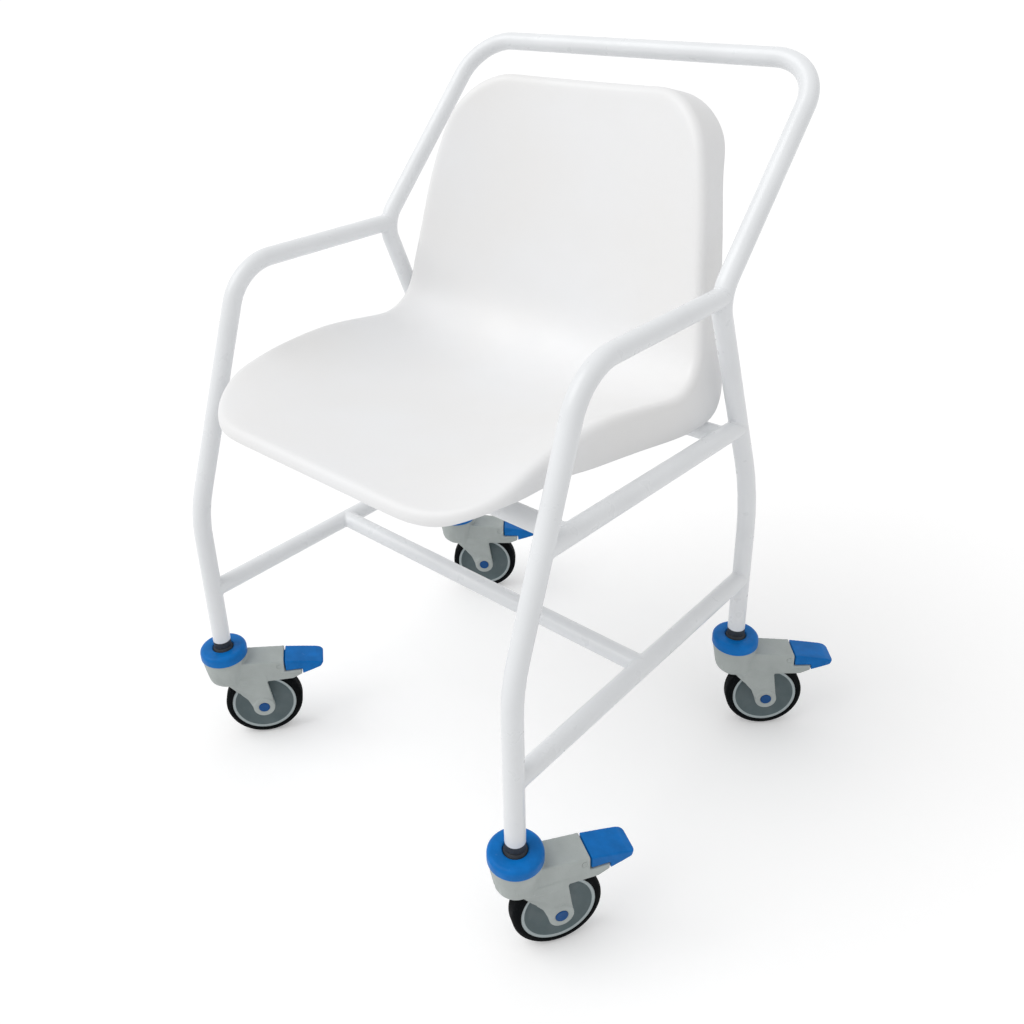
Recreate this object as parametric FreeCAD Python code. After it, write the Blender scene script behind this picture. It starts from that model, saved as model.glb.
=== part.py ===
import FreeCAD, Part
import math
import os

os.makedirs("parts", exist_ok=True)

# Wheeled shower chair in millimetres. The chair faces -Y, +X is the sitter's left and +Z is up.
# The origin lies on the floor, in the middle between the four castor stems.

# Frame: one tube size, side view points of the tube centre lines and their bend radii
tube_radius = 11.0
tube_wall = 1.5
half_track = 250.0
half_base = 221.6
tube_end_height = 154.3
front_knee_height = 343.8
front_knee_bend_radius = 180.0
arm_corner_y = -119.8
arm_height = 632.0
arm_corner_bend_radius = 65.0
junction_y = 113.8
junction_bend_radius = 40.0
rear_knee_height = 354.0
rear_knee_bend_radius = 300.0
handle_half_width = 248.0
handle_y = 309.7
handle_height = 845.0
handle_bend_radius = 58.0
lower_rail_height = 231.5
seat_rail_front_height = 473.6
seat_rail_rear_height = 459.7
front_cross_y = -139.8
rear_cross_y = 144.9

# Seat shell: centre line in side view from the front lip over the bend to the top edge
shell_wall = 4.0
pan_end_y = 67.8
pan_end_height = 490.3
pan_length = 304.0
pan_fall = math.radians(2.2)
seat_bend_radius = 88.0
back_lean = math.radians(10.0)
back_radius = 3600.0
back_length = 262.0
roll_radius = 10.0
front_corner_width = 95.0
front_corner_length = 85.0
top_corner_width = 70.0
top_corner_length = 72.0
corner_fullness_share = 0.55
flange_draft_share = 0.01
dish_power = 2.3
blank_depth = 90.0
hollow_depth = 120.0
blank_margin = 30.0
tool_reach = 16.0
tool_width = 45.0
tool_height = 45.0
tool_overrun = 60.0
slope_step = 4.0
width_place_shares = [0.0, 0.139, 0.225, 0.283, 0.341, 0.399, 0.457, 0.498, 0.63, 0.688, 0.747,
                      0.806, 0.864, 0.923, 1.04]
half_widths = [217.0, 217.5, 219.0, 220.7, 224.0, 227.0, 230.0, 230.0, 224.0, 217.0, 211.0,
               204.5, 196.0, 184.5, 160.0]
lift_place_shares = [0.0, 0.052, 0.11, 0.168, 0.225, 0.269, 0.312, 0.37, 0.433, 0.535, 0.636,
                     0.864, 1.04]
dish_lifts = [0.0, 14.0, 31.5, 43.0, 49.0, 51.5, 51.0, 46.0, 39.5, 33.0, 34.0, 34.0, 24.0]
# Lower edge of the skirt: shares of the pan's length behind the lip, and heights over the pan's end
skirt_place_shares = [-0.145, 0.023, 0.089, 0.184, 0.424, 0.582, 0.813]
skirt_heights = [-1.3, -1.3, 7.7, 16.7, 15.7, 6.7, -2.3]
# The edge goes on under the seat's bend and up the back's flange, measured y, z from the pan's end
bend_edge = [(1.2, -10.8), (42.2, -15.9), (88.2, -16.5)]
edge_corner = (103.2, -11.3)
flange_edge = [(108.2, 1.7), (105.2, 54.7), (111.7, 117.7), (120.7, 178.7), (136.7, 242.7),
               (163.2, 283.7), (194.2, 359.7)]
trim_depth = 430.0
trim_drop = 190.0
trim_half_width = 400.0
trim_middle_half_width = 165.0
lip_depth = 21.0

# Seat fixings: screws up through the cross tubes into inserts in bosses under the shell
screw_x = 110.0
screw_radius = 3.0
screw_hole_radius = 3.3
screw_head_radius = 5.5
screw_head_height = 4.0
screw_depth = 7.0
insert_radius = 4.5
boss_radius = 12.0
boss_reach = 80.0
saddle_height = 4.0
saddle_hug = 7.0
saddle_radius = 12.5

# Castor, in its own frame: stem on the z axis, wheel trailing towards +x
wheel_radius = 50.0
trail = 42.6
tyre_half_width = 11.5
tyre_crown = 4.0
rim_seat_radius = 38.5
rim_lip_radius = 41.8
rim_half_width = 10.6
rim_seat_half_width = 7.5
rim_dish_radius = 35.0
web_half_width = 4.0
hub_radius = 12.0
hub_half_width = 13.2
hub_bore_radius = 5.1
axle_radius = 5.0
axle_bore_radius = 5.05
axle_half_length = 18.0
cap_radius = 7.0
cap_depth = 3.0
cap_stand = 0.6
head_radius = 27.5
head_top = 129.0
head_shoulder = 123.0
neck_radius = 23.5
neck_height = 92.0
chin_radius = 19.0
chin_height = 84.0
chin_end_radius = 8.0
chin_end_height = 77.5
body_half_width = 17.5
body_profile = [(0.0, 123.0), (30.0, 122.5), (75.0, 118.5), (75.0, 102.5), (97.0, 102.5),
                (97.0, 95.0), (85.0, 89.5), (0.0, 89.5)]
leg_profile = [(0.0, 98.0), (0.0, 84.0), (15.0, 74.0), (23.0, 64.0), (30.0, 46.0), (42.6, 36.5),
               (56.5, 50.0), (51.0, 88.0), (51.0, 98.0)]
leg_half_width = 18.5
axle_boss_radius = 14.0
axle_boss_half_width = 20.5
cavity_radius = 53.0
cavity_half_width = 13.5
slot_half_width = 12.5
slot_front = 60.0
slot_rear = 74.0
slot_floor = 104.0
slot_ceiling = 116.8
stem_radius = 5.5
stem_bore_radius = 6.0
stem_head_radius = 8.0
stem_head_low = 98.0
stem_head_high = 104.0
stem_pocket_radius = 9.5
stem_pocket_top = 104.4
stem_shoulder_radius = 9.0
stem_shoulder_low = 129.4
stem_top = 190.0
bearing_radius = 12.0
bearing_bore_radius = 5.6
bearing_low = 121.0
collar_height = 9.0
sleeve_length = 45.0
ring_radius = 29.5
ring_bore_radius = 13.0
ring_height = 14.0
ring_round = 5.0
pin_x = 69.0
pin_height = 111.0
pin_radius = 3.0
pin_bore_radius = 3.05
pin_half_length = 17.2
pedal_profile = [(76.5, 103.2), (97.8, 103.2), (98.6, 97.5), (115.0, 101.5), (122.0, 101.2),
                 (125.2, 103.5), (125.8, 107.0), (123.5, 109.5), (118.0, 111.3), (100.0, 115.2),
                 (79.0, 118.0), (76.5, 112.0)]
pedal_arm_half_width = 12.0
pedal_boss_radius = 5.2
pedal_arm_top = 115.0
pedal_arm_bottom = 106.0
pedal_arm_end = 78.0
nose_profile = [(62.5, 109.0), (64.0, 88.0), (68.0, 88.0), (71.5, 109.0)]
nose_clearance = 0.35

# Trail directions seen in the photo, turned from +X towards +Y
front_left_angle = 59.6
front_right_angle = 50.9
rear_left_angle = 41.3
rear_right_angle = 38.5
castors = [("front_left", 1, -1, front_left_angle), ("front_right", -1, -1, front_right_angle),
           ("rear_left", 1, 1, rear_left_angle), ("rear_right", -1, 1, rear_right_angle)]

facet_count = 3
corner_steps = 7
side_steps = 11
sheet_rows = 20
sheet_columns = 9
full_turn_angle = 360.0
outline_row_shares = (0.0, 0.4, 0.8)

Vector = FreeCAD.Vector
tube_bore = tube_radius - tube_wall
lip_y = pan_end_y - pan_length * math.cos(pan_fall)
lip_height = pan_end_height + pan_length * math.sin(pan_fall)
seat_bend_turn = math.pi / 2 + pan_fall - back_lean
seat_bend_length = seat_bend_radius * seat_bend_turn
shell_length = pan_length + seat_bend_length + back_length


def save(shape, name):
    shape.exportStep("parts/" + name + ".step")


# Bent tubes

def bend_marks(before, corner, after, radius):
    """Start, middle and end of the arc that rounds a corner of the centre line."""
    to_before = (before - corner).normalize()
    to_after = (after - corner).normalize()
    half = to_before.getAngle(to_after) / 2
    tangent = radius / math.tan(half)
    towards_centre = (to_before + to_after).normalize()
    middle = corner + towards_centre * (radius / math.sin(half) - radius)
    return corner + to_before * tangent, middle, corner + to_after * tangent


def centre_line(points, radii):
    edges = []
    start = points[0]
    for before, corner, after, radius in zip(points, points[1:], points[2:], radii):
        arc_start, middle, arc_end = bend_marks(before, corner, after, radius)
        edges.append(Part.makeLine(start, arc_start))
        edges.append(Part.Arc(arc_start, middle, arc_end).toShape())
        start = arc_end
    edges.append(Part.makeLine(start, points[-1]))
    return Part.Wire(edges)


def swept_bar(points, radii, radius):
    """Round bar along a bent centre line."""
    direction = points[1] - points[0]
    section = Part.Face(Part.Wire(Part.makeCircle(radius, points[0], direction)))
    return centre_line(points, radii).makePipe(section)


def straight_bar(start, end, radius):
    return Part.makeCylinder(radius, (end - start).Length, start, end - start)


def front_points(side):
    return [Vector(side * half_track, -half_base, tube_end_height),
            Vector(side * half_track, -half_base, front_knee_height),
            Vector(side * half_track, arm_corner_y, arm_height),
            Vector(side * half_track, junction_y, arm_height)]


def rear_points():
    left = [Vector(half_track, half_base, tube_end_height),
            Vector(half_track, half_base, rear_knee_height),
            Vector(half_track, junction_y, arm_height),
            Vector(handle_half_width, handle_y, handle_height)]
    right = [Vector(-point.x, point.y, point.z) for point in reversed(left)]
    return left + right


front_radii = [front_knee_bend_radius, arm_corner_bend_radius]
rear_half_radii = [rear_knee_bend_radius, junction_bend_radius, handle_bend_radius]
rear_radii = rear_half_radii + rear_half_radii[::-1]


def rear_bar(radius):
    return swept_bar(rear_points(), rear_radii, radius)


def front_bar(side, radius):
    return swept_bar(front_points(side), front_radii, radius)


def rear_tube():
    return rear_bar(tube_radius).cut(rear_bar(tube_bore))


def front_tube(side, rear_solid):
    tube = front_bar(side, tube_radius).cut(rear_solid)
    tube = max(tube.Solids, key=lambda solid: solid.Volume)
    return tube.cut(front_bar(side, tube_bore))


def hollow_rail(start, end, neighbours):
    """Straight tube between two others, with its ends shaped to their round sides."""
    rail = straight_bar(start, end, tube_radius)
    for neighbour in neighbours:
        rail = rail.cut(neighbour)
    middle = (start + end) / 2
    rail = min(rail.Solids, key=lambda solid: (solid.CenterOfMass - middle).Length)
    return rail.cut(straight_bar(start, end, tube_bore))


def leg_y(leg, height):
    """Place of a leg's sloping run at a height, from the points of its centre line."""
    knee, corner = leg[1], leg[2]
    rise_share = (height - knee.z) / (corner.z - knee.z)
    return knee.y + rise_share * (corner.y - knee.y)


seat_rail_front_y = leg_y(front_points(1), seat_rail_front_height)
seat_rail_rear_y = leg_y(rear_points(), seat_rail_rear_height)


def seat_rail_ends(side):
    return (Vector(side * half_track, seat_rail_front_y, seat_rail_front_height),
            Vector(side * half_track, seat_rail_rear_y, seat_rail_rear_height))


def lower_rail_ends(side):
    return (Vector(side * half_track, -half_base, lower_rail_height),
            Vector(side * half_track, half_base, lower_rail_height))


def seat_rail_height(y):
    run_share = (y - seat_rail_front_y) / (seat_rail_rear_y - seat_rail_front_y)
    return seat_rail_front_height + run_share * (seat_rail_rear_height - seat_rail_front_height)


def cross_ends(y, height):
    return Vector(-half_track, y, height), Vector(half_track, y, height)


def drilled(tube, y):
    """Cross tube with its two through holes for the seat screws."""
    height = seat_rail_height(y)
    for side in (1, -1):
        start = Vector(side * screw_x, y, height - 2 * tube_radius)
        tube = tube.cut(Part.makeCylinder(screw_hole_radius, 4 * tube_radius, start))
    return tube


# Seat shell

def interpolated(places, values, place):
    """Smooth value at a place, from the values at the places of a table."""
    if place <= places[0]:
        return values[0]
    for index in range(len(places) - 1):
        if place > places[index + 1]:
            continue
        span = places[index + 1] - places[index]
        slope_0 = 0.0
        slope_1 = (values[index + 1] - values[index]) / span
        if index > 0:
            slope_0 = (values[index + 1] - values[index - 1]) / (places[index + 1] - places[index - 1])
        if index + 2 < len(places):
            slope_1 = (values[index + 2] - values[index]) / (places[index + 2] - places[index])
        share = (place - places[index]) / span
        square = share * share
        cube = square * share
        return ((2 * cube - 3 * square + 1) * values[index]
                + (cube - 2 * square + share) * slope_0 * span
                + (3 * square - 2 * cube) * values[index + 1] + (cube - square) * slope_1 * span)
    return values[-1]


def half_width(along):
    return interpolated(width_place_shares, half_widths, along / shell_length)


def dish_lift(along):
    return interpolated(lift_place_shares, dish_lifts, along / shell_length)


def shell_centre(along):
    """Point y, z and heading of the shell's centre line at a length from the front lip."""
    y = lip_y + min(along, pan_length) * math.cos(pan_fall)
    z = lip_height - min(along, pan_length) * math.sin(pan_fall)
    heading = -pan_fall
    if along > pan_length:
        centre_y = y + seat_bend_radius * math.sin(pan_fall)
        centre_z = z + seat_bend_radius * math.cos(pan_fall)
        heading = heading + min(along - pan_length, seat_bend_length) / seat_bend_radius
        y = centre_y + seat_bend_radius * math.sin(heading)
        z = centre_z - seat_bend_radius * math.cos(heading)
    if along > pan_length + seat_bend_length:
        centre_y = y + back_radius * math.sin(heading)
        centre_z = z - back_radius * math.cos(heading)
        heading = heading - (along - pan_length - seat_bend_length) / back_radius
        y = centre_y - back_radius * math.sin(heading)
        z = centre_z + back_radius * math.cos(heading)
    return y, z, heading


def shell_point(across, along, height):
    y, z, heading = shell_centre(along)
    return Vector(across, y - math.sin(heading) * height, z + math.cos(heading) * height)


def dish_height(across, along):
    reach_share = abs(across) / half_width(along)
    return dish_lift(along) * reach_share ** dish_power


def sheet_face(depth):
    """Dished sheet of the seat and back, a depth below its upper side."""
    reach = max(half_widths) + blank_margin
    rows = []
    for row in range(sheet_rows):
        along = (shell_length + 2 * blank_margin) * row / (sheet_rows - 1) - blank_margin
        points = []
        for column in range(sheet_columns):
            across = reach * (2 * column / (sheet_columns - 1) - 1)
            points.append(shell_point(across, along, dish_height(across, along) - depth))
        rows.append(points)
    surface = Part.BSplineSurface()
    surface.interpolate(rows)
    return surface.toShape()


def closed_solid(faces):
    shell = Part.makeShell(faces)
    shell.sewShape()
    solid = Part.makeSolid(shell)
    if solid.Volume < 0:
        solid.reverse()
    return solid


def sheet_blank(upper_depth, lower_depth):
    upper = sheet_face(upper_depth)
    lower = sheet_face(lower_depth)
    faces = [upper, lower]
    for upper_edge, lower_edge in zip(upper.Edges, lower.Edges):
        faces.append(Part.makeRuledSurface(upper_edge, lower_edge))
    return closed_solid(faces)


def corner_points(start, corner, end):
    """Points of a rounded corner that leaves and joins the outline along its sides."""
    first = (start[0] + (corner[0] - start[0]) * corner_fullness_share,
             start[1] + (corner[1] - start[1]) * corner_fullness_share)
    second = (end[0] + (corner[0] - end[0]) * corner_fullness_share,
              end[1] + (corner[1] - end[1]) * corner_fullness_share)
    points = []
    for step in range(corner_steps + 1):
        share = step / corner_steps
        rest = 1 - share
        weights = (rest ** 3, 3 * rest * rest * share, 3 * rest * share * share, share ** 3)
        corners = (start, first, second, end)
        points.append(tuple(sum(weight * point[axis] for weight, point in zip(weights, corners))
                            for axis in (0, 1)))
    return points


def outline_half():
    """Left half of the shell's outline on its sheet, from the front lip to the top edge."""
    side_start = front_corner_length
    side_end = shell_length - top_corner_length
    front_width = half_width(side_start)
    end_width = half_width(side_end)
    top_width = half_width(shell_length)
    front = (front_width - front_corner_width, 0.0)
    top = (top_width - top_corner_width, shell_length)
    points = [(front[0] * share, 0.0) for share in outline_row_shares]
    points += corner_points(front, (front_width, 0.0), (front_width, side_start))
    for step in range(1, side_steps):
        along = side_start + (side_end - side_start) * step / side_steps
        points.append((half_width(along), along))
    points += corner_points((end_width, side_end), (top_width, shell_length), top)
    points += [(top[0] * share, shell_length) for share in reversed(outline_row_shares)]
    return points


def outline_normals(points):
    before = [(-points[1][0], points[1][1])] + points[:-1]
    after = points[1:] + [(-points[-2][0], points[-2][1])]
    normals = []
    for (across_0, along_0), (across_1, along_1) in zip(before, after):
        length = math.hypot(across_1 - across_0, along_1 - along_0)
        normals.append(((along_1 - along_0) / length, (across_0 - across_1) / length))
    return normals


def rim_section(radius, slope, depth):
    """Outside of the rolled rim and its flange, measured from the middle of the roll."""
    start = math.pi / 2 + slope
    turns = [start * (1 - (facet + 0.5) / facet_count) for facet in range(facet_count)]
    first = turns[0]
    last = turns[-1]
    section = [(radius * math.cos(first) - tool_reach * math.sin(first),
                radius * math.sin(first) + tool_reach * math.cos(first))]
    for turn_0, turn_1 in zip(turns, turns[1:]):
        middle = (turn_0 + turn_1) / 2
        corner = radius / math.cos((turn_0 - turn_1) / 2)
        section.append((corner * math.cos(middle), corner * math.sin(middle)))
    section.append((radius, radius * (1 - math.cos(last)) / math.sin(last)))
    section.append((radius + depth * flange_draft_share, -depth - tool_overrun))
    section.append((radius + tool_width, -depth - tool_overrun))
    section.append((radius + tool_width, tool_height))
    section.append((section[0][0], tool_height))
    return section


def rim_rows(upper_depth, lower_depth):
    points = outline_half()
    rows = []
    for (across, along), (out_across, out_along) in zip(points, outline_normals(points)):
        across = across - out_across * roll_radius
        along = along - out_along * roll_radius
        rise = dish_height(across, along) - dish_height(across - out_across * slope_step,
                                                        along - out_along * slope_step)
        slope = math.atan2(rise, slope_step)
        inset = roll_radius * math.sin(slope)
        height = dish_height(across - out_across * inset, along - out_along * inset)
        height = height - roll_radius * math.cos(slope)
        row = []
        for outward, upward in rim_section(roll_radius - upper_depth, slope, lower_depth):
            row.append(shell_point(across + out_across * outward, along + out_along * outward,
                                   height + upward))
        rows.append(row)
    return rows


def rim_tool(upper_depth, lower_depth):
    """Ring that cuts the rolled rim and the flange's outside from a blank."""
    rings = []
    for ring in zip(*rim_rows(upper_depth, lower_depth)):
        right = [Vector(-point.x, point.y, point.z) for point in reversed(ring[1:-1])]
        rings.append(list(ring) + right)
    guide = rings[1] + rings[1][:1]
    marks = [0.0]
    for start, end in zip(guide, guide[1:]):
        marks.append(marks[-1] + start.distanceToPoint(end))
    edges = []
    for ring in rings:
        curve = Part.BSplineCurve()
        curve.interpolate(Points=ring, PeriodicFlag=True, Parameters=marks)
        edges.append(curve.toShape())
    faces = []
    for edge_0, edge_1 in zip(edges, edges[1:] + edges[:1]):
        faces.append(Part.makeRuledSurface(edge_0, edge_1))
    return closed_solid(faces)


def shell_block(upper_depth, lower_depth):
    block = sheet_blank(upper_depth, lower_depth).cut(rim_tool(upper_depth, lower_depth))
    return max(block.Solids, key=lambda solid: solid.Volume)


def skirt_edge():
    """Side view points of the skirt's lower edge, from before the lip to under the bend."""
    points = []
    for share, height in zip(skirt_place_shares, skirt_heights):
        points.append((lip_y + share * pan_length, pan_end_height + height))
    return points + from_pan_end(bend_edge)


def from_pan_end(points):
    return [(pan_end_y + y, pan_end_height + z) for y, z in points]


def trim_prism(lower_edges, start, end):
    """Prism across the chair from an edge under the seat and the back flange's edge."""
    def place(point):
        return Vector(start, *point)

    def spline(points):
        curve = Part.BSplineCurve()
        curve.interpolate([place(point) for point in points])
        return curve.toShape()

    skirt = skirt_edge()
    flange = from_pan_end(flange_edge)
    corner = Part.Arc(place(skirt[-1]), place(from_pan_end([edge_corner])[0]), place(flange[0]))
    back = pan_end_y + trim_depth
    low = pan_end_height - trim_drop
    rest = [flange[-1], (back, flange[-1][1]), (back, low), (skirt[0][0], low), skirt[0]]
    outer_edges = Part.makePolygon([place(point) for point in rest]).Edges
    edges = lower_edges(skirt, place, spline) + [corner.toShape(), spline(flange)] + outer_edges
    return Part.Face(Part.Wire(edges)).extrude(Vector(end - start, 0, 0))


def side_edges(skirt, place, spline):
    return [spline(skirt)]


def middle_edges(skirt, place, spline):
    """Under the pan only the lip is cut, and the pan itself stays clear."""
    inside = lip_y + lip_depth
    lip = [skirt[0], (inside, skirt[0][1]), (inside, skirt[-1][1]), skirt[-1]]
    return Part.makePolygon([place(point) for point in lip]).Edges


def trim_solids():
    """Everything below the skirt's edge and behind the flange's edge."""
    return [trim_prism(middle_edges, -trim_middle_half_width, trim_middle_half_width),
            trim_prism(side_edges, trim_middle_half_width, trim_half_width),
            trim_prism(side_edges, -trim_half_width, -trim_middle_half_width)]


def fixing_places():
    places = []
    for y in (front_cross_y, rear_cross_y):
        for side in (1, -1):
            places.append((side * screw_x, y, seat_rail_height(y)))
    return places


def boss_low(height):
    return height + tube_radius + saddle_height


def shell_boss(x, y, height, hollow):
    start = Vector(x, y, boss_low(height))
    boss = Part.makeCylinder(boss_radius, boss_reach, start).common(hollow)
    return boss.cut(Part.makeCylinder(insert_radius, screw_depth, start))


def seat_shell():
    hollow = shell_block(shell_wall, hollow_depth)
    shell = shell_block(0.0, blank_depth).cut(hollow).cut(trim_solids())
    shell = max(shell.Solids, key=lambda solid: solid.Volume)
    bosses = [shell_boss(x, y, height, hollow) for x, y, height in fixing_places()]
    return shell.fuse(bosses)


# Seat fixings

def seat_saddle(x, y, height):
    low = height + tube_radius - saddle_hug
    pad = Part.makeCylinder(saddle_radius, boss_low(height) - low, Vector(x, y, low))
    tube = Part.makeCylinder(tube_radius, 4 * saddle_radius, Vector(x - 2 * saddle_radius, y, height),
                             Vector(1, 0, 0))
    hole = Part.makeCylinder(screw_hole_radius, 4 * tube_radius, Vector(x, y, height))
    return pad.cut(tube).cut(hole)


def seat_screw(x, y, height):
    low = height - tube_radius
    end = boss_low(height) + screw_depth
    shank = Part.makeCylinder(screw_radius, end - low, Vector(x, y, low))
    head = Part.makeCylinder(screw_head_radius, screw_head_height,
                             Vector(x, y, low - screw_head_height))
    return shank.fuse(head).removeSplitter()


def seat_insert(x, y, height):
    start = Vector(x, y, boss_low(height))
    sleeve = Part.makeCylinder(insert_radius, screw_depth, start)
    return sleeve.cut(Part.makeCylinder(screw_radius, screw_depth, start))


# Castor pieces, each in the castor's own frame

def ring(outer, inner, low, high):
    disc = Part.makeCylinder(outer, high - low, Vector(0, 0, low))
    return disc.cut(Part.makeCylinder(inner, high - low, Vector(0, 0, low)))


def crosswise(radius, half_length, x, z):
    """Cylinder across the castor, centred on its middle plane."""
    return Part.makeCylinder(radius, 2 * half_length, Vector(x, -half_length, z), Vector(0, 1, 0))


def plate(profile, start, end):
    """Side profile of x, z points as a plate between two places across the castor."""
    points = [Vector(x, start, z) for x, z in profile]
    return Part.Face(Part.makePolygon(points + points[:1])).extrude(Vector(0, end - start, 0))


def turned_about_axle(profile):
    """Closed profile of radius and place across, turned about the wheel's axle."""
    points = [Vector(trail + radius, across, wheel_radius) for radius, across in profile]
    face = Part.Face(Part.makePolygon(points + points[:1]))
    return face.revolve(Vector(trail, 0, wheel_radius), Vector(0, 1, 0), full_turn_angle)


def castor_expander():
    sleeve = Part.makeCylinder(tube_bore, sleeve_length, Vector(0, 0, tube_end_height))
    collar = Part.makeCylinder(tube_radius, collar_height,
                               Vector(0, 0, tube_end_height - collar_height))
    bore = Part.makeCylinder(stem_radius, sleeve_length + collar_height,
                             Vector(0, 0, tube_end_height - collar_height))
    return sleeve.fuse(collar).cut(bore)


def castor_stem():
    stem = Part.makeCylinder(stem_radius, stem_top - stem_head_low, Vector(0, 0, stem_head_low))
    head = Part.makeCylinder(stem_head_radius, stem_head_high - stem_head_low,
                             Vector(0, 0, stem_head_low))
    shoulder_high = tube_end_height - collar_height
    shoulder = Part.makeCylinder(stem_shoulder_radius, shoulder_high - stem_shoulder_low,
                                 Vector(0, 0, stem_shoulder_low))
    return stem.fuse([head, shoulder]).removeSplitter()


def swivel_bearing():
    return ring(bearing_radius, bearing_bore_radius, bearing_low, head_top)


def ring_cap():
    """Ring with a rounded outer top edge and a lighter round on its foot."""
    top = head_top + ring_height
    flat = ring_radius - ring_round
    slant = ring_round * math.sin(math.pi / 4)
    edges = [Part.makeLine(Vector(ring_bore_radius, 0, top), Vector(ring_bore_radius, 0, head_top)),
             Part.makeLine(Vector(ring_bore_radius, 0, head_top), Vector(ring_radius, 0, head_top)),
             Part.makeLine(Vector(ring_radius, 0, head_top), Vector(ring_radius, 0, top - ring_round)),
             Part.Arc(Vector(ring_radius, 0, top - ring_round),
                      Vector(flat + slant, 0, top - ring_round + slant),
                      Vector(flat, 0, top)).toShape(),
             Part.makeLine(Vector(flat, 0, top), Vector(ring_bore_radius, 0, top))]
    return Part.Face(Part.Wire(edges)).revolve(Vector(0, 0, 0), Vector(0, 0, 1), full_turn_angle)


def housing_head():
    points = [(0.0, head_top), (head_radius, head_top), (head_radius, head_shoulder),
              (neck_radius, neck_height), (chin_radius, chin_height),
              (chin_end_radius, chin_end_height), (0.0, chin_end_height)]
    wire = Part.makePolygon([Vector(x, 0, z) for x, z in points + points[:1]])
    return Part.Face(wire).revolve(Vector(0, 0, 0), Vector(0, 0, 1), full_turn_angle)


def housing_bores():
    pocket = Part.makeCylinder(stem_pocket_radius, stem_pocket_top, Vector(0, 0, 0))
    stem_bore = Part.makeCylinder(stem_bore_radius, head_top, Vector(0, 0, 0))
    bearing_seat = Part.makeCylinder(bearing_radius, head_top - bearing_low, Vector(0, 0, bearing_low))
    wheel_room = crosswise(cavity_radius, cavity_half_width, trail, wheel_radius)
    axle_bore = crosswise(axle_bore_radius, axle_boss_half_width, trail, wheel_radius)
    pin_bore = crosswise(pin_bore_radius, axle_boss_half_width, pin_x, pin_height)
    nose_slot = Part.makeBox(slot_rear - slot_front, 2 * slot_half_width, slot_ceiling - wheel_radius,
                             Vector(slot_front, -slot_half_width, wheel_radius))
    arm_slot = Part.makeBox(slot_rear, 2 * slot_half_width, slot_ceiling - slot_floor,
                            Vector(slot_rear, -slot_half_width, slot_floor))
    bores = [stem_bore, bearing_seat, wheel_room, axle_bore, pin_bore, nose_slot, arm_slot]
    for side in (1, -1):
        place = Vector(trail, side * axle_half_length, wheel_radius)
        bores.append(Part.makeCylinder(cap_radius, cap_depth, place, Vector(0, side, 0)))
    return pocket.fuse(bores)


def castor_housing():
    body = plate(body_profile, -body_half_width, body_half_width)
    legs = plate(leg_profile, -leg_half_width, leg_half_width)
    bosses = crosswise(axle_boss_radius, axle_boss_half_width, trail, wheel_radius)
    return housing_head().fuse([body, legs, bosses]).cut(housing_bores()).removeSplitter()


def pedal_pin():
    return crosswise(pin_radius, pin_half_length, pin_x, pin_height)


def axle_bolt():
    return crosswise(axle_radius, axle_half_length, trail, wheel_radius)


def axle_caps():
    caps = []
    for side in (1, -1):
        start = Vector(trail, side * axle_half_length, wheel_radius)
        caps.append(Part.makeCylinder(cap_radius, cap_depth, start, Vector(0, side, 0)))
    return Part.makeCompound(caps)


def brake_pedal():
    tread = plate(pedal_profile, -body_half_width, body_half_width)
    arm_profile = [(pin_x, pedal_arm_bottom), (pedal_arm_end, pedal_arm_bottom),
                   (pedal_arm_end, pedal_arm_top), (pin_x, pedal_arm_top)]
    arm = plate(arm_profile, -pedal_arm_half_width, pedal_arm_half_width)
    boss = crosswise(pedal_boss_radius, pedal_arm_half_width, pin_x, pin_height)
    nose = plate(nose_profile, -pedal_arm_half_width, pedal_arm_half_width)
    nose = nose.cut(crosswise(wheel_radius + nose_clearance, tyre_half_width * 2, trail, wheel_radius))
    pedal = tread.fuse([arm, boss, nose])
    return pedal.cut(crosswise(pin_bore_radius, body_half_width, pin_x, pin_height)).removeSplitter()


def tyre():
    crown_edge = tyre_half_width - tyre_crown
    profile = [(rim_seat_radius, -rim_seat_half_width), (rim_lip_radius, -rim_seat_half_width),
               (rim_lip_radius, -tyre_half_width), (wheel_radius - tyre_crown, -tyre_half_width),
               (wheel_radius, -crown_edge), (wheel_radius, crown_edge),
               (wheel_radius - tyre_crown, tyre_half_width), (rim_lip_radius, tyre_half_width),
               (rim_lip_radius, rim_seat_half_width), (rim_seat_radius, rim_seat_half_width)]
    return turned_about_axle(profile)


def wheel_rim():
    half = [(hub_bore_radius, hub_half_width), (hub_radius, hub_half_width),
            (hub_radius, web_half_width), (rim_dish_radius, web_half_width),
            (rim_dish_radius, rim_half_width), (rim_lip_radius, rim_half_width),
            (rim_lip_radius, rim_seat_half_width), (rim_seat_radius, rim_seat_half_width)]
    other = [(radius, -across) for radius, across in reversed(half)]
    return turned_about_axle(half + other)


castor_pieces = [("castor_expander", castor_expander), ("castor_stem", castor_stem),
                 ("swivel_bearing", swivel_bearing), ("ring_cap", ring_cap),
                 ("castor_housing", castor_housing), ("pedal_pin", pedal_pin),
                 ("axle_bolt", axle_bolt), ("axle_caps", axle_caps), ("brake_pedal", brake_pedal),
                 ("tyre", tyre), ("wheel_rim", wheel_rim)]


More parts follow.
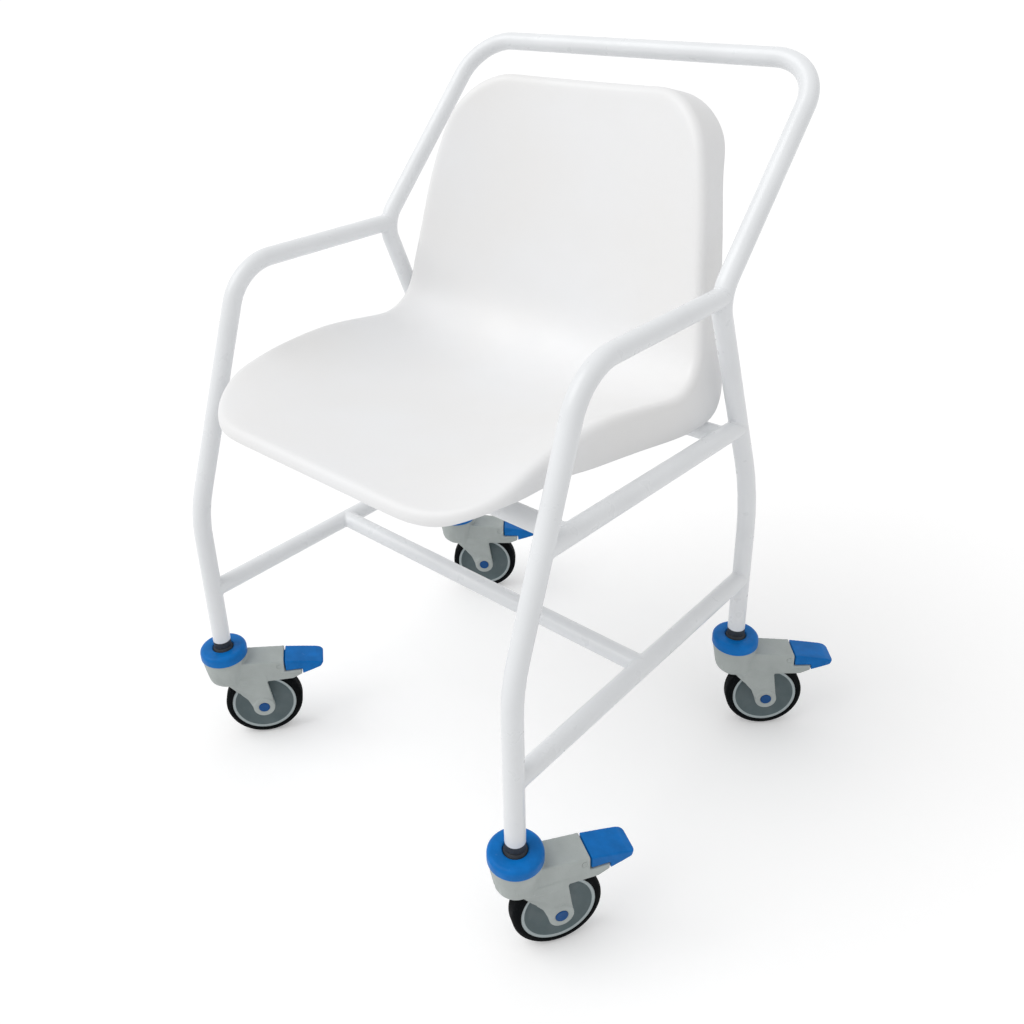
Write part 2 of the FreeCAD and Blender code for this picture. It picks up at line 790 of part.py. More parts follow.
def save_frame():
    rear_solid = rear_bar(tube_radius)
    save(rear_tube(), "rear_legs_and_push_handle_tube")
    seat_rails = []
    lower_rails = []
    for side, name in ((1, "left"), (-1, "right")):
        save(front_tube(side, rear_solid), "front_" + name + "_leg_and_arm_tube")
        legs = [front_bar(side, tube_radius), rear_solid]
        save(hollow_rail(*seat_rail_ends(side), legs), name + "_seat_rail")
        save(hollow_rail(*lower_rail_ends(side), legs), name + "_lower_rail")
        seat_rails.append(straight_bar(*seat_rail_ends(side), tube_radius))
        lower_rails.append(straight_bar(*lower_rail_ends(side), tube_radius))
    for y, name in ((front_cross_y, "front"), (rear_cross_y, "rear")):
        tube = hollow_rail(*cross_ends(y, seat_rail_height(y)), seat_rails)
        save(drilled(tube, y), name + "_seat_cross_tube")
    save(hollow_rail(*cross_ends(0, lower_rail_height), lower_rails), "lower_cross_tube")


def save_seat():
    save(seat_shell(), "seat_shell")
    places = fixing_places()
    save(Part.makeCompound([seat_saddle(*place) for place in places]), "seat_tube_saddles")
    save(Part.makeCompound([seat_screw(*place) for place in places]), "seat_screws")
    save(Part.makeCompound([seat_insert(*place) for place in places]), "seat_screw_inserts")


def save_castors():
    for piece, make in castor_pieces:
        shape = make()
        for corner, side, end, heading in castors:
            placed = shape.copy()
            placed.rotate(Vector(0, 0, 0), Vector(0, 0, 1), heading)
            placed.translate(Vector(side * half_track, end * half_base, 0))
            save(placed, corner + "_" + piece)


save_frame()
save_castors()
save_seat()
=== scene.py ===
import math

import bmesh
import bpy
from bpy.props import FloatProperty, FloatVectorProperty, IntProperty, PointerProperty
from mathutils import Matrix, Vector


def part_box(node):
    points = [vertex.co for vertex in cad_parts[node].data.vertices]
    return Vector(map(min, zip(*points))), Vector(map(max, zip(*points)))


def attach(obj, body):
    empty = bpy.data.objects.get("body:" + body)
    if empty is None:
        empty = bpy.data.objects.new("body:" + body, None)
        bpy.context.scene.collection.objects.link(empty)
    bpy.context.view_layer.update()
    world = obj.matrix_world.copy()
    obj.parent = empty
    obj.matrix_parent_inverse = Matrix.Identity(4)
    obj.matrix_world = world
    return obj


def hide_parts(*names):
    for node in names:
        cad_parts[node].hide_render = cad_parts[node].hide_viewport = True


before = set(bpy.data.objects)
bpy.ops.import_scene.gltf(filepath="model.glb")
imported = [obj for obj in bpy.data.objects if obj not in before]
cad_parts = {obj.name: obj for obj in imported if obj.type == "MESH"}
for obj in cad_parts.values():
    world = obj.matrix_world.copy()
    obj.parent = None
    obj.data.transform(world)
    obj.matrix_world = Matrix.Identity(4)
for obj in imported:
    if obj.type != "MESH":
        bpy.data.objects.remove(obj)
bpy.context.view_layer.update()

bl_info = {
    "name": "Wheeled shower chair",
    "version": (1, 0, 0),
    "blender": (4, 5, 0),
    "location": "View3D > Sidebar > Shower chair",
    "description": "Dresses the packed frame of a wheeled shower chair",
    "category": "Add Mesh",
}

# Places and sizes are in millimetres, and a finished mesh is brought to metres.
# The chair faces -Y, and +X is the sitter's left.
MM = 0.001

# Frame: middle lines of the tubes. A knee is z and the bend's radius, a corner y, z and the radius,
# and the handle's corner x, y, z and the radius.
half_track = 250.0
half_base = 221.6
tube_end_height = 154.3
front_knee = (343.8, 180.0)
arm_corner = (-119.8, 632.0, 65.0)
junction = (113.8, 632.0, 40.0)
rear_knee = (354.0, 300.0)
handle_corner = (248.0, 309.7, 845.0, 58.0)
lower_rail_height = 231.5
seat_rail_front_height = 473.6
seat_rail_rear_height = 459.7
front_cross_y = -139.8
rear_cross_y = 144.9
bend_step = math.radians(5)
tube_edge = math.radians(50)
bead_sides = 8
bead_steps = 56
bead_ripple = 0.01
bead_ripples = 28
bead_sunk = 0.25
bead_sunk_in_corner = 0.55

# Seat shell: side view line of the pan, the bend and the back, then tables along it
pan_end = (67.8, 490.3)
pan_length = 304.0
pan_fall = math.radians(2.2)
seat_bend_radius = 88.0
back_lean = math.radians(10.0)
back_radius = 3600.0
back_length = 262.0
front_corner = (95.0, 85.0)
top_corner = (62.0, 64.0)
corner_fullness = 0.55
dish_power = 2.3
slope_step = 4.0
corner_steps = 24
end_steps = 10
skin_columns = 26
skin_rows = 38
roll_shares = (0.25, 0.5, 0.75, 1.0)
flange_shares = (0.12, 0.5, 0.9, 1.0)
flange_draft = 0.01
flange_least = 0.8
flange_first = 2.0
flange_step = 3
flange_most = 120
flange_halvings = 12
skin_levels = 2
edge_crease = 0.6
width_places = [0.0, 0.139, 0.225, 0.283, 0.341, 0.399, 0.457, 0.498, 0.63, 0.688, 0.747,
                0.806, 0.864, 0.923, 1.04]
half_widths = [217.0, 217.5, 219.0, 220.7, 224.0, 227.0, 230.0, 230.0, 224.0, 217.0, 211.0,
               204.5, 196.0, 184.5, 160.0]
lift_places = [0.0, 0.052, 0.11, 0.168, 0.225, 0.269, 0.312, 0.37, 0.433, 0.535, 0.636, 0.864, 1.04]
dish_lifts = [0.0, 14.0, 31.5, 43.0, 49.0, 51.5, 51.0, 46.0, 39.5, 33.0, 34.0, 34.0, 24.0]
# Where the shell ends below and behind: skirt heights over y, flange places over z
skirt_places = [-280.0, -229.0, -208.9, -180.0, -107.1, -59.1, 11.1, 69.0, 110.0, 156.0, 171.0, 176.0]
skirt_heights = [489.0, 489.0, 498.0, 507.0, 506.0, 497.0, 488.0, 479.5, 474.4, 473.8, 479.0, 492.0]
flange_heights = [492.0, 545.0, 608.0, 669.0, 733.0, 774.0, 850.0]
flange_places = [176.0, 173.0, 179.5, 188.5, 204.5, 231.0, 262.0]
boss_radius = 12.0
screw_x = 110.0
saddle_top = 15.0
wall_halvings = 30

# Castor, in its own frame: stem on the z axis, wheel trailing towards +x
corners = [("front_left", 1, -1, 59.6), ("front_right", -1, -1, 50.9),
           ("rear_left", 1, 1, 41.3), ("rear_right", -1, 1, 38.5)]
wheel_radius = 50.0
trail = 42.6
moulding_edge = math.radians(40)
cad_merge = 0.02
cad_flat = math.radians(0.8)
# The chin of the swivel head is drawn in and up, by shares of its depth below the neck
neck_height = 100.0
chin_rear = 10.0
chin_fade = 8.0
chin_lift = 0.25
chin_draw = 0.011
# Pedal: the side view x, z of its top and of the wedge under it
pedal_heel = 76.5
pedal_toe = 125.8
pedal_half_width = 17.5
toe_round = 6.0
slab_low = 103.2
pedal_top = [(76.5, 118.0), (100.0, 114.6), (117.0, 111.8), (125.8, 108.6)]
wedge_line = [(98.0, 95.2), (112.0, 99.7), (122.0, 103.3), (125.8, 106.7)]
# Raised edges of the housing round the pedal, each from its low to its high corner
over_arm = ((70.5, -17.2, 117), (74.6, 17.2, 119))
under_tread = [((71.5, -18.7, 99), (96.6, -15, 102.4)), ((71.5, 15, 99), (96.6, 18.7, 102.4))]
down_sides = [((71.5, -18.2, 99), (74.6, -15, 117)), ((71.5, 15, 99), (74.6, 18.2, 117))]
# Caps on the axle's ends
cap_radius = 7.0
cap_depth = 3.0
cap_seat = 18.0
cap_edge_round = 0.7
cap_rim = 3.2
cap_hollow = 0.5
# Sections of the turned pieces: radius with height, or with the place across the wheel
round_sides = 40
corner_rows = 4
turn_steps = 72
sleeve_steps = 48
wheel_steps = 96
ring_tolerance = 0.02
ring_section = [(13, 129), (28.6, 129), (28.6, 130.2), (29.5, 130.2), (29.5, 143), (13, 143)]
collar_section = [(5.6, 145.3), (11, 145.3), (11, 154.2), (9.4, 154.2), (9.4, 199.3), (5.6, 199.3)]
seal_section = [(9.1, 139.5), (12.7, 139.5), (12.7, 141.4), (11, 145.2), (9.1, 145.2)]
tyre_section = [(38.5, -7.5), (41.8, -7.5), (41.8, -11.5), (46, -11.5), (50, -7.5),
                (50, 7.5), (46, 11.5), (41.8, 11.5), (41.8, 7.5), (38.5, 7.5)]
rim_half_section = [(5.1, 13.2), (12, 13.2), (12.6, 4.4), (22, 3.4), (30, 4.2), (35, 6.8), (38.4, 10.6),
                    (41.7, 10.6), (41.7, 7.5), (38.5, 7.5)]
# Faces of the lip, out from this radius and this far across, get a lighter colour: a painted highlight where
# the lip catches the light
rim_lip_radius = 37.9
rim_lip_across = 8.6

# Stage: where the photograph was taken from, in metres and degrees, and its light
camera_place = (0.7307, -0.7657, 0.9745)
camera_yaw = 41.568
camera_pitch = -25.229
camera_roll = -1.376
camera_lens = 35.374
camera_sensor = 36
camera_shift = (0.0084, -0.1019)
key_from = (-0.5, -0.65, 0.95)
key_width = math.radians(50)
floor_grey = 0.86
floor_lift = 0.24

UP = Vector((0, 0, 1))
AXLE = Vector((0, 1, 0))
axle_centre = Vector((trail, 0, wheel_radius))

seat_bend_turn = math.pi / 2 + pan_fall - back_lean
seat_bend_length = seat_bend_radius * seat_bend_turn
shell_length = pan_length + seat_bend_length + back_length
lip = (pan_end[0] - pan_length * math.cos(pan_fall), pan_end[1] + pan_length * math.sin(pan_fall))

tube_low, tube_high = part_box("left_lower_rail")


class FrameSettings(bpy.types.PropertyGroup):
    """Sizes and paint of the welded tube frame"""

    tube_radius: FloatProperty(name="Tube radius", description="Outside radius of every frame tube",
                               default=(tube_high.x - tube_low.x) / 2, unit="LENGTH")
    tube_sides: IntProperty(name="Tube sides", description="Faces round each tube",
                            default=40, min=12)
    bead_radius: FloatProperty(name="Bead radius", description="Radius of the weld beads at the joints",
                               default=1.8 * MM, unit="LENGTH")
    paint: FloatVectorProperty(name="Paint", description="Colour of the baked white paint",
                               default=(0.835, 0.852, 0.87), subtype="COLOR", size=3, min=0, max=1)


class ShellSettings(bpy.types.PropertyGroup):
    """Sizes and colour of the moulded seat shell"""

    wall: FloatProperty(name="Wall", description="Wall of the moulded shell",
                        default=4.0 * MM, unit="LENGTH")
    roll_radius: FloatProperty(name="Roll radius", description="Outside radius of the rolled rim",
                               default=10.0 * MM, unit="LENGTH")
    plastic: FloatVectorProperty(name="Plastic", description="Colour of the shell",
                                 default=(0.86, 0.865, 0.875), subtype="COLOR", size=3, min=0, max=1)


class CastorSettings(bpy.types.PropertyGroup):
    """Rounds and colours of the four braked castors"""

    grain: FloatProperty(name="Grain", description="Size of the small faces of the moulded pieces",
                         default=0.8 * MM, unit="LENGTH")
    housing_passes: IntProperty(name="Housing passes", description="How far the housing's edges melt",
                                default=6, min=0)
    pedal_passes: IntProperty(name="Pedal passes", description="How far the pedal's edges melt",
                              default=10, min=0)
    cap_round: FloatProperty(name="Cap round", description="Round on the ring cap's shoulder",
                             default=5.0 * MM, unit="LENGTH")
    blue: FloatVectorProperty(name="Blue", description="Colour of the ring caps and the pedals",
                              default=(0.003, 0.155, 0.5), subtype="COLOR", size=3, min=0, max=1)
    axle_blue: FloatVectorProperty(name="Axle blue", description="Colour of the caps on the axles",
                                   default=(0.013, 0.08, 0.255), subtype="COLOR", size=3, min=0, max=1)
    housing: FloatVectorProperty(name="Housing", description="Colour of the castor housings",
                                 default=(0.425, 0.461, 0.45), subtype="COLOR", size=3, min=0, max=1)
    rim: FloatVectorProperty(name="Rim", description="Colour of the dished wheel rims",
                             default=(0.115, 0.155, 0.165), subtype="COLOR", size=3, min=0, max=1)
    # The lip's colour is lighter than the rim's: a painted highlight where the lip catches the light
    lip_highlight: FloatVectorProperty(name="Rim lip", description="Colour of the polished lip round each rim",
                                 default=(0.42, 0.48, 0.49), subtype="COLOR", size=3, min=0, max=1)
    tyre: FloatVectorProperty(name="Tyre", description="Colour of the rubber tyres",
                              default=(0.005, 0.006, 0.007), subtype="COLOR", size=3, min=0, max=1)


class StageSettings(bpy.types.PropertyGroup):
    """Floor and light of the studio"""

    floor_reach: FloatProperty(name="Floor reach", description="Half the length of the floor's side",
                               default=40.0, unit="LENGTH")
    sky: FloatProperty(name="Sky", description="Strength of the even light from all round",
                       default=0.66, min=0)
    key: FloatProperty(name="Key", description="Strength of the broad soft light from the left",
                       default=1.2, min=0)


# Materials

class Finish:
    """New material: its shader, and the patterns on the object's coordinates that feed it."""

    def __init__(self, name, colour, roughness, specular=0.5, metallic=0.0):
        self.material = bpy.data.materials.new(name)
        self.material.use_nodes = True
        self.tree = self.material.node_tree
        self.shader = self.tree.nodes["Principled BSDF"]
        self.give("Base Color", (*colour, 1))
        self.give("Roughness", roughness)
        self.give("Specular IOR Level", specular)
        self.give("Metallic", metallic)
        self.place = self.tree.nodes.new("ShaderNodeTexCoord").outputs["Object"]

    def give(self, socket, value):
        self.shader.inputs[socket].default_value = value

    def feed(self, socket, output):
        self.tree.links.new(output, self.shader.inputs[socket])

    def noise(self, scale, detail=2.0, place=None):
        node = self.tree.nodes.new("ShaderNodeTexNoise")
        node.inputs["Scale"].default_value = scale
        node.inputs["Detail"].default_value = detail
        self.tree.links.new(place or self.place, node.inputs["Vector"])
        return node.outputs["Fac"]

    def spread(self, value, low, high, to_low, to_high):
        """Brings the values between low and high to between to_low and to_high."""
        node = self.tree.nodes.new("ShaderNodeMapRange")
        for name, number in (("From Min", low), ("From Max", high), ("To Min", to_low), ("To Max", to_high)):
            node.inputs[name].default_value = number
        self.tree.links.new(value, node.inputs["Value"])
        return node.outputs["Result"]

    def patches(self, scale, detail, low, high, most=1.0):
        """Soft patches: none where the noise is below low, and the most where it is above high."""
        return self.spread(self.noise(scale, detail), low, high, 0, most)

    def blended(self, share, first, second):
        """Colour between two others, each a colour or the output of a node."""
        node = self.tree.nodes.new("ShaderNodeMix")
        node.data_type = "RGBA"
        self.tree.links.new(share, node.inputs["Factor"])
        for socket, colour in ((node.inputs[6], first), (node.inputs[7], second)):
            if isinstance(colour, bpy.types.NodeSocket):
                self.tree.links.new(colour, socket)
            else:
                socket.default_value = (*colour, 1)
        return node.outputs[2]

    def colours(self, share, first, second):
        self.feed("Base Color", self.blended(share, first, second))

    def gloss(self, pattern, smooth, rough, low=0.3, high=0.7):
        """Roughness that follows a pattern, whose values between low and high count."""
        self.feed("Roughness", self.spread(pattern, low, high, smooth, rough))

    def relief(self, *heights):
        """Bumps on the surface: pairs of a height output with its depth in millimetres."""
        normal = None
        for height, depth in heights:
            node = self.tree.nodes.new("ShaderNodeBump")
            node.inputs["Strength"].default_value = 1
            node.inputs["Distance"].default_value = depth * MM
            self.tree.links.new(height, node.inputs["Height"])
            if normal:
                self.tree.links.new(normal, node.inputs["Normal"])
            normal = node.outputs["Normal"]
        self.feed("Normal", normal)


def shaded(colour, factor):
    return tuple(part * factor for part in colour)


def painted_steel(colour):
    """Baked white paint: orange peel, slightly uneven gloss and a few grey scuffs."""
    paint = Finish("painted_steel", colour, roughness=0.33)
    tone = paint.patches(scale=14, detail=3, low=0.35, high=0.65)
    scuffs = paint.patches(scale=90, detail=3, low=0.68, high=0.80, most=0.1)
    paint.colours(scuffs, paint.blended(tone, colour, shaded(colour, 0.965)), shaded(colour, 0.72))
    paint.gloss(paint.noise(60), smooth=0.26, rough=0.42)
    paint.give("Coat Weight", 0.25)
    paint.give("Coat Roughness", 0.15)
    paint.relief((paint.noise(330, 1), 0.05))
    return paint.material


def shell_plastic(colour):
    """Moulded plastic with a fine mould grain and the faint swirls of its flow."""
    plastic = Finish("shell_plastic", colour, roughness=0.42)
    warmer = (colour[0] * 0.985, colour[1] * 0.975, colour[2] * 0.96)
    swirls = plastic.patches(scale=5, detail=4, low=0.35, high=0.65)
    specks = plastic.patches(scale=420, detail=3, low=0.72, high=0.80, most=0.25)
    plastic.colours(specks, plastic.blended(swirls, colour, warmer), shaded(colour, 0.8))
    plastic.gloss(plastic.noise(22, 4), smooth=0.36, rough=0.52)
    plastic.relief((plastic.noise(11, 1), 0.35), (plastic.noise(900, 1), 0.03))
    return plastic.material


def blue_plastic(name, colour):
    """Glossy blue moulding with a soft grain and lighter rubbed patches."""
    plastic = Finish(name, colour, roughness=0.38, specular=0.14)
    tone = plastic.patches(scale=55, detail=3, low=0.3, high=0.7)
    rubbed = plastic.patches(scale=190, detail=5, low=0.66, high=0.80, most=0.2)
    lighter = tuple(part + (1 - part) * 0.18 for part in colour)
    plastic.colours(rubbed, plastic.blended(tone, shaded(colour, 0.86), shaded(colour, 1.12)), lighter)
    plastic.gloss(plastic.noise(150), smooth=0.3, rough=0.46)
    plastic.relief((plastic.noise(750, 2), 0.05))
    return plastic.material


def housing_plastic(colour):
    """Grey glass-filled plastic: mottled, with an eroded grain."""
    plastic = Finish("housing_plastic", colour, roughness=0.5, specular=0.3)
    mottle = plastic.patches(scale=38, detail=4, low=0.3, high=0.7)
    body = plastic.blended(mottle, shaded(colour, 0.93), shaded(colour, 1.05))
    specks = plastic.patches(scale=600, detail=2, low=0.64, high=0.75, most=0.4)
    plastic.colours(specks, body, shaded(colour, 0.7))
    plastic.gloss(plastic.noise(90), smooth=0.42, rough=0.6)
    cells = plastic.tree.nodes.new("ShaderNodeTexVoronoi")
    cells.inputs["Scale"].default_value = 700
    plastic.tree.links.new(plastic.place, cells.inputs["Vector"])
    plastic.relief((cells.outputs["Distance"], 0.06))
    return plastic.material


def rim_plastic(name, colour, roughness):
    """Smooth grey nylon with a little dust in the dish."""
    plastic = Finish(name, colour, roughness, specular=0.25)
    dust = plastic.patches(scale=70, detail=4, low=0.4, high=0.75, most=0.5)
    plastic.colours(dust, colour, tuple(part * 0.75 + 0.08 for part in colour))
    plastic.gloss(plastic.noise(160), smooth=roughness - 0.06, rough=roughness + 0.1)
    plastic.relief((plastic.noise(500, 2), 0.03))
    return plastic.material


def tyre_rubber(colour):
    """Black rubber with a stippled skin and grey dust where it has rolled."""
    rubber = Finish("tyre_rubber", colour, roughness=0.6, specular=0.02)
    dust = rubber.patches(scale=45, detail=5, low=0.5, high=0.85, most=0.2)
    rubber.colours(dust, colour, (0.04, 0.04, 0.038))
    rubber.gloss(rubber.noise(120), smooth=0.48, rough=0.72)
    rubber.relief((rubber.noise(420, 3), 0.12))
    return rubber.material


def dark_plastic():
    """Charcoal plastic of the collars and the saddles."""
    colour = (0.035, 0.038, 0.042)
    plastic = Finish("dark_plastic", colour, roughness=0.5, specular=0.25)
    tone = plastic.patches(scale=120, detail=3, low=0.3, high=0.7)
    plastic.colours(tone, colour, shaded(colour, 1.5))
    plastic.relief((plastic.noise(800, 2), 0.05))
    return plastic.material


def plated_steel():
    """Zinc plated steel with fine turning marks round the upright parts."""
    colour = (0.58, 0.59, 0.6)
    steel = Finish("plated_steel", colour, roughness=0.3, metallic=1)
    stretch = steel.tree.nodes.new("ShaderNodeMapping")
    stretch.inputs["Scale"].default_value = (1, 1, 30)
    steel.tree.links.new(steel.place, stretch.inputs["Vector"])
    marks = steel.noise(120, 3, stretch.outputs["Vector"])
    steel.gloss(marks, smooth=0.22, rough=0.42)
    steel.colours(steel.patches(scale=90, detail=3, low=0.3, high=0.7), colour, shaded(colour, 0.8))
    steel.relief((marks, 0.02))
    return steel.material


def insert_brass():
    """Knurled brass of the threaded inserts."""
    colour = (0.62, 0.42, 0.17)
    brass = Finish("insert_brass", colour, roughness=0.35, metallic=1)
    tarnish = brass.patches(scale=260, detail=4, low=0.4, high=0.7)
    brass.colours(tarnish, colour, shaded(colour, 0.6))
    brass.gloss(tarnish, smooth=0.28, rough=0.5, low=0, high=1)
    brass.relief((brass.noise(1200, 1), 0.08))
    return brass.material


# Pieces

def mesh_of(bm, name):
    mesh = bpy.data.meshes.new(name)
    bm.to_mesh(mesh)
    bm.free()
    return mesh


def in_scene(name, data):
    obj = bpy.data.objects.new(name, data)
    bpy.context.scene.collection.objects.link(obj)
    return obj


def piece(bm, name, body, materials, nodes=(), sharp=None):
    """Brings a mesh in millimetres to metres and makes it a piece that rides on a body.

    Edges that turn by more than the angle sharp stay crisp, and the others are shaded smooth.
    """
    bmesh.ops.scale(bm, vec=(MM, MM, MM), verts=bm.verts)
    mesh = mesh_of(bm, name)
    mesh.shade_smooth()
    if sharp:
        mesh.set_sharp_from_angle(angle=sharp)
    for material in materials:
        mesh.materials.append(material)
    obj = in_scene(name, mesh)
    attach(obj, body)
    if nodes:
        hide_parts(*nodes)
    return obj


def outwards(bm):
    """Merges doubled points and turns every face outwards."""
    bmesh.ops.remove_doubles(bm, verts=bm.verts, dist=0.001)
    bmesh.ops.recalc_face_normals(bm, faces=bm.faces)


def verts_in(geom):
    return [item for item in geom if isinstance(item, bmesh.types.BMVert)]


def edges_in(geom):
    return [item for item in geom if isinstance(item, bmesh.types.BMEdge)]


def edges_at(verts):
    return list(dict.fromkeys(edge for vert in verts for edge in vert.link_edges))


def swept(bm, geom, centre, axis, angle, steps, closed=False):
    """Surface that a line draws when it is turned about an axis. The result is the last line."""
    return bmesh.ops.spin(bm, geom=geom, cent=centre, axis=axis, dvec=(0, 0, 0), angle=angle,
                          space=Matrix.Identity(4), steps=steps, use_merge=closed,
                          use_duplicate=False)["geom_last"]


def rounded(bm, geom, radius, segments, affect="EDGES"):
    bmesh.ops.bevel(bm, geom=geom, offset=radius, offset_type="OFFSET", segments=segments, profile=0.5,
                    affect=affect, clamp_overlap=True, material=-1)


def repaint(node, material):
    """Gives a shown CAD node its finish."""
    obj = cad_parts[node]
    if not obj.material_slots:
        obj.data.materials.append(material)
    for place in obj.material_slots:
        place.material = material


# Bent tubes

def mark(side, y, z):
    return Vector((side * half_track, y, z))


def bend(before, corner, after, radius):
    """Start and centre of a rounded corner, the axis it turns about and its angle."""
    back = (before - corner).normalized()
    ahead = (after - corner).normalized()
    half = back.angle(ahead) / 2
    start = corner + back * (radius / math.tan(half))
    centre = corner + (back + ahead).normalized() * (radius / math.sin(half))
    axis = ahead.cross(back).normalized()
    return start, centre, axis, math.pi - 2 * half


def ring_edges(geom):
    verts = set(verts_in(geom))
    return [edge for edge in edges_in(geom) if verts.issuperset(edge.verts)]


def run_on(bm, edges, step):
    """Draws a ring of edges out along a straight step."""
    geom = bmesh.ops.extrude_edge_only(bm, edges=edges)["geom"]
    bmesh.ops.translate(bm, verts=verts_in(geom), vec=step)
    return ring_edges(geom)


def bent_tube(bm, points, radii, radius, sides):
    """Round tube along straight runs and bends, closed at both ends.

    A branch runs on to the middle line of the tube that it meets, so that its end is hidden inside.
    """
    heading = (points[1] - points[0]).normalized()
    turn = heading.to_track_quat("Z", "Y").to_matrix().to_4x4()
    verts = bmesh.ops.create_circle(bm, cap_ends=True, radius=radius, segments=sides,
                                    matrix=Matrix.Translation(points[0]) @ turn)["verts"]
    edges = edges_at(verts)
    here = points[0]
    for before, corner, after, bend_radius in zip(points, points[1:], points[2:], radii):
        start, centre, axis, angle = bend(before, corner, after, bend_radius)
        edges = run_on(bm, edges, start - here)
        verts = list(dict.fromkeys(vert for edge in edges for vert in edge.verts))
        steps = max(2, round(angle / bend_step))
        edges = ring_edges(swept(bm, verts + edges, centre, axis, angle, steps))
        here = Matrix.Rotation(angle, 3, axis) @ (start - centre) + centre
    edges = run_on(bm, edges, points[-1] - here)
    bmesh.ops.contextual_create(bm, geom=edges)
    outwards(bm)


def front_points(side):
    return [mark(side, -half_base, tube_end_height), mark(side, -half_base, front_knee[0]),
            mark(side, *arm_corner[:2]), mark(side, *junction[:2])]


def rear_points():
    left = [mark(1, half_base, tube_end_height), mark(1, half_base, rear_knee[0]),
            mark(1, *junction[:2]), Vector(handle_corner[:3])]
    return left + [Vector((-point.x, point.y, point.z)) for point in reversed(left)]


def rear_side(side):
    """The rear tube's points, from the leg on one side to the leg on the other."""
    return rear_points()[::side]


def leg_place(leg, height):
    """Point of a leg's sloping run at a height."""
    return leg[1].lerp(leg[2], (height - leg[1].z) / (leg[2].z - leg[1].z))


def bend_middle(side):
    """Middle of the rear tube's bend, where the arm meets it."""
    start, centre, axis, angle = bend(*rear_side(side)[1:4], junction[2])
    return Matrix.Rotation(angle / 2, 3, axis) @ (start - centre) + centre


def seat_rail(side):
    return (leg_place(front_points(side), seat_rail_front_height),
            leg_place(rear_side(side), seat_rail_rear_height))


def lower_rail(side):
    return mark(side, -half_base, lower_rail_height), mark(side, half_base, lower_rail_height)


def rail_place(rail, y):
    return rail[0].lerp(rail[1], (y - rail[0].y) / (rail[1].y - rail[0].y))


def cross_ends():
    """Ends of the three cross tubes on the middle lines of the rails."""
    ends = []
    for rail, y in ((seat_rail, front_cross_y), (seat_rail, rear_cross_y), (lower_rail, 0)):
        ends.append((rail_place(rail(-1), y), rail_place(rail(1), y)))
    return ends


def weld_bead(bm, start, heading, main_point, main_heading, radius, size):
    """Bead of weld round a branch tube, lying on the round side of the tube it meets."""
    heading = heading.normalized()
    turn = heading.to_track_quat("Z", "Y").to_matrix()
    back_turn = turn.transposed()
    side_step = heading - main_heading * heading.dot(main_heading)
    other_beads = set(bm.verts)
    place = Matrix.Translation((radius, 0, 0)) @ Matrix.Rotation(math.pi / 2, 4, "X")
    section = bmesh.ops.create_circle(bm, segments=bead_sides, radius=size, matrix=place)["verts"]
    swept(bm, section + edges_at(section), (0, 0, 0), UP, 2 * math.pi, bead_steps, closed=True)
    for vert in set(bm.verts) - other_beads:
        angle = math.atan2(vert.co.y, vert.co.x)
        outward = Vector((math.cos(angle), math.sin(angle), 0))
        seam = turn @ (outward * radius) + start - main_point
        seam = seam - main_heading * seam.dot(main_heading)
        # Along the branch, up to where its side meets the round of the main tube
        square = side_step.length_squared
        slant = seam.dot(side_step)
        inside = seam.length_squared - radius * radius
        rise = (-slant + math.sqrt(max(0.0, slant * slant - square * inside))) / square
        ripple = 1 + bead_ripple * math.sin(bead_ripples * angle)
        local = Vector((vert.co.x * ripple, vert.co.y * ripple, vert.co.z + rise))
        main_outward = back_turn @ ((seam + side_step * rise) / radius)
        sunk = size * (bead_sunk + bead_sunk_in_corner * max(0.0, outward.dot(main_outward)))
        local -= (outward + main_outward).normalized() * sunk
        vert.co = turn @ local + start


# Seat shell

def smooth_value(places, values, place):
    """Smooth value at a place, from the values at the places of a table."""
    if place <= places[0]:
        return values[0]
    for index in range(len(places) - 1):
        if place > places[index + 1]:
            continue
        span = places[index + 1] - places[index]
        slope_0 = 0.0
        slope_1 = (values[index + 1] - values[index]) / span
        if index > 0:
            slope_0 = (values[index + 1] - values[index - 1]) / (places[index + 1] - places[index - 1])
        if index + 2 < len(places):
            slope_1 = (values[index + 2] - values[index]) / (places[index + 2] - places[index])
        share = (place - places[index]) / span
        square = share * share
        cube = square * share
        return ((2 * cube - 3 * square + 1) * values[index]
                + (cube - 2 * square + share) * slope_0 * span
                + (3 * square - 2 * cube) * values[index + 1] + (cube - square) * slope_1 * span)
    return values[-1]


def half_width(along):
    return smooth_value(width_places, half_widths, along / shell_length)


def dish_height(across, along):
    lift = smooth_value(lift_places, dish_lifts, along / shell_length)
    return lift * (abs(across) / half_width(along)) ** dish_power


def shell_centre(along):
    """Point y, z and heading of the shell's middle line at a length from the lip."""
    on_pan = min(along, pan_length)
    y = lip[0] + on_pan * math.cos(pan_fall)
    z = lip[1] - on_pan * math.sin(pan_fall)
    heading = -pan_fall
    if along > pan_length:
        y -= seat_bend_radius * math.sin(heading)
        z += seat_bend_radius * math.cos(heading)
        heading += min(along - pan_length, seat_bend_length) / seat_bend_radius
        y += seat_bend_radius * math.sin(heading)
        z -= seat_bend_radius * math.cos(heading)
    if along > pan_length + seat_bend_length:
        y += back_radius * math.sin(heading)
        z -= back_radius * math.cos(heading)
        heading -= (along - pan_length - seat_bend_length) / back_radius
        y -= back_radius * math.sin(heading)
        z += back_radius * math.cos(heading)
    return y, z, heading


def shell_point(across, along, height):
    y, z, heading = shell_centre(along)
    return Vector((across, y - math.sin(heading) * height, z + math.cos(heading) * height))


def corner_row(start, corner, end):
    """Points of a rounded corner of the outline, from one side to the other."""
    first = start.lerp(corner, corner_fullness)
    second = end.lerp(corner, corner_fullness)
    row = []
    for step in range(corner_steps + 1):
        share = step / corner_steps
        rest = 1 - share
        row.append(start * rest ** 3 + first * 3 * rest * rest * share
                   + second * 3 * rest * share * share + end * share ** 3)
    return row


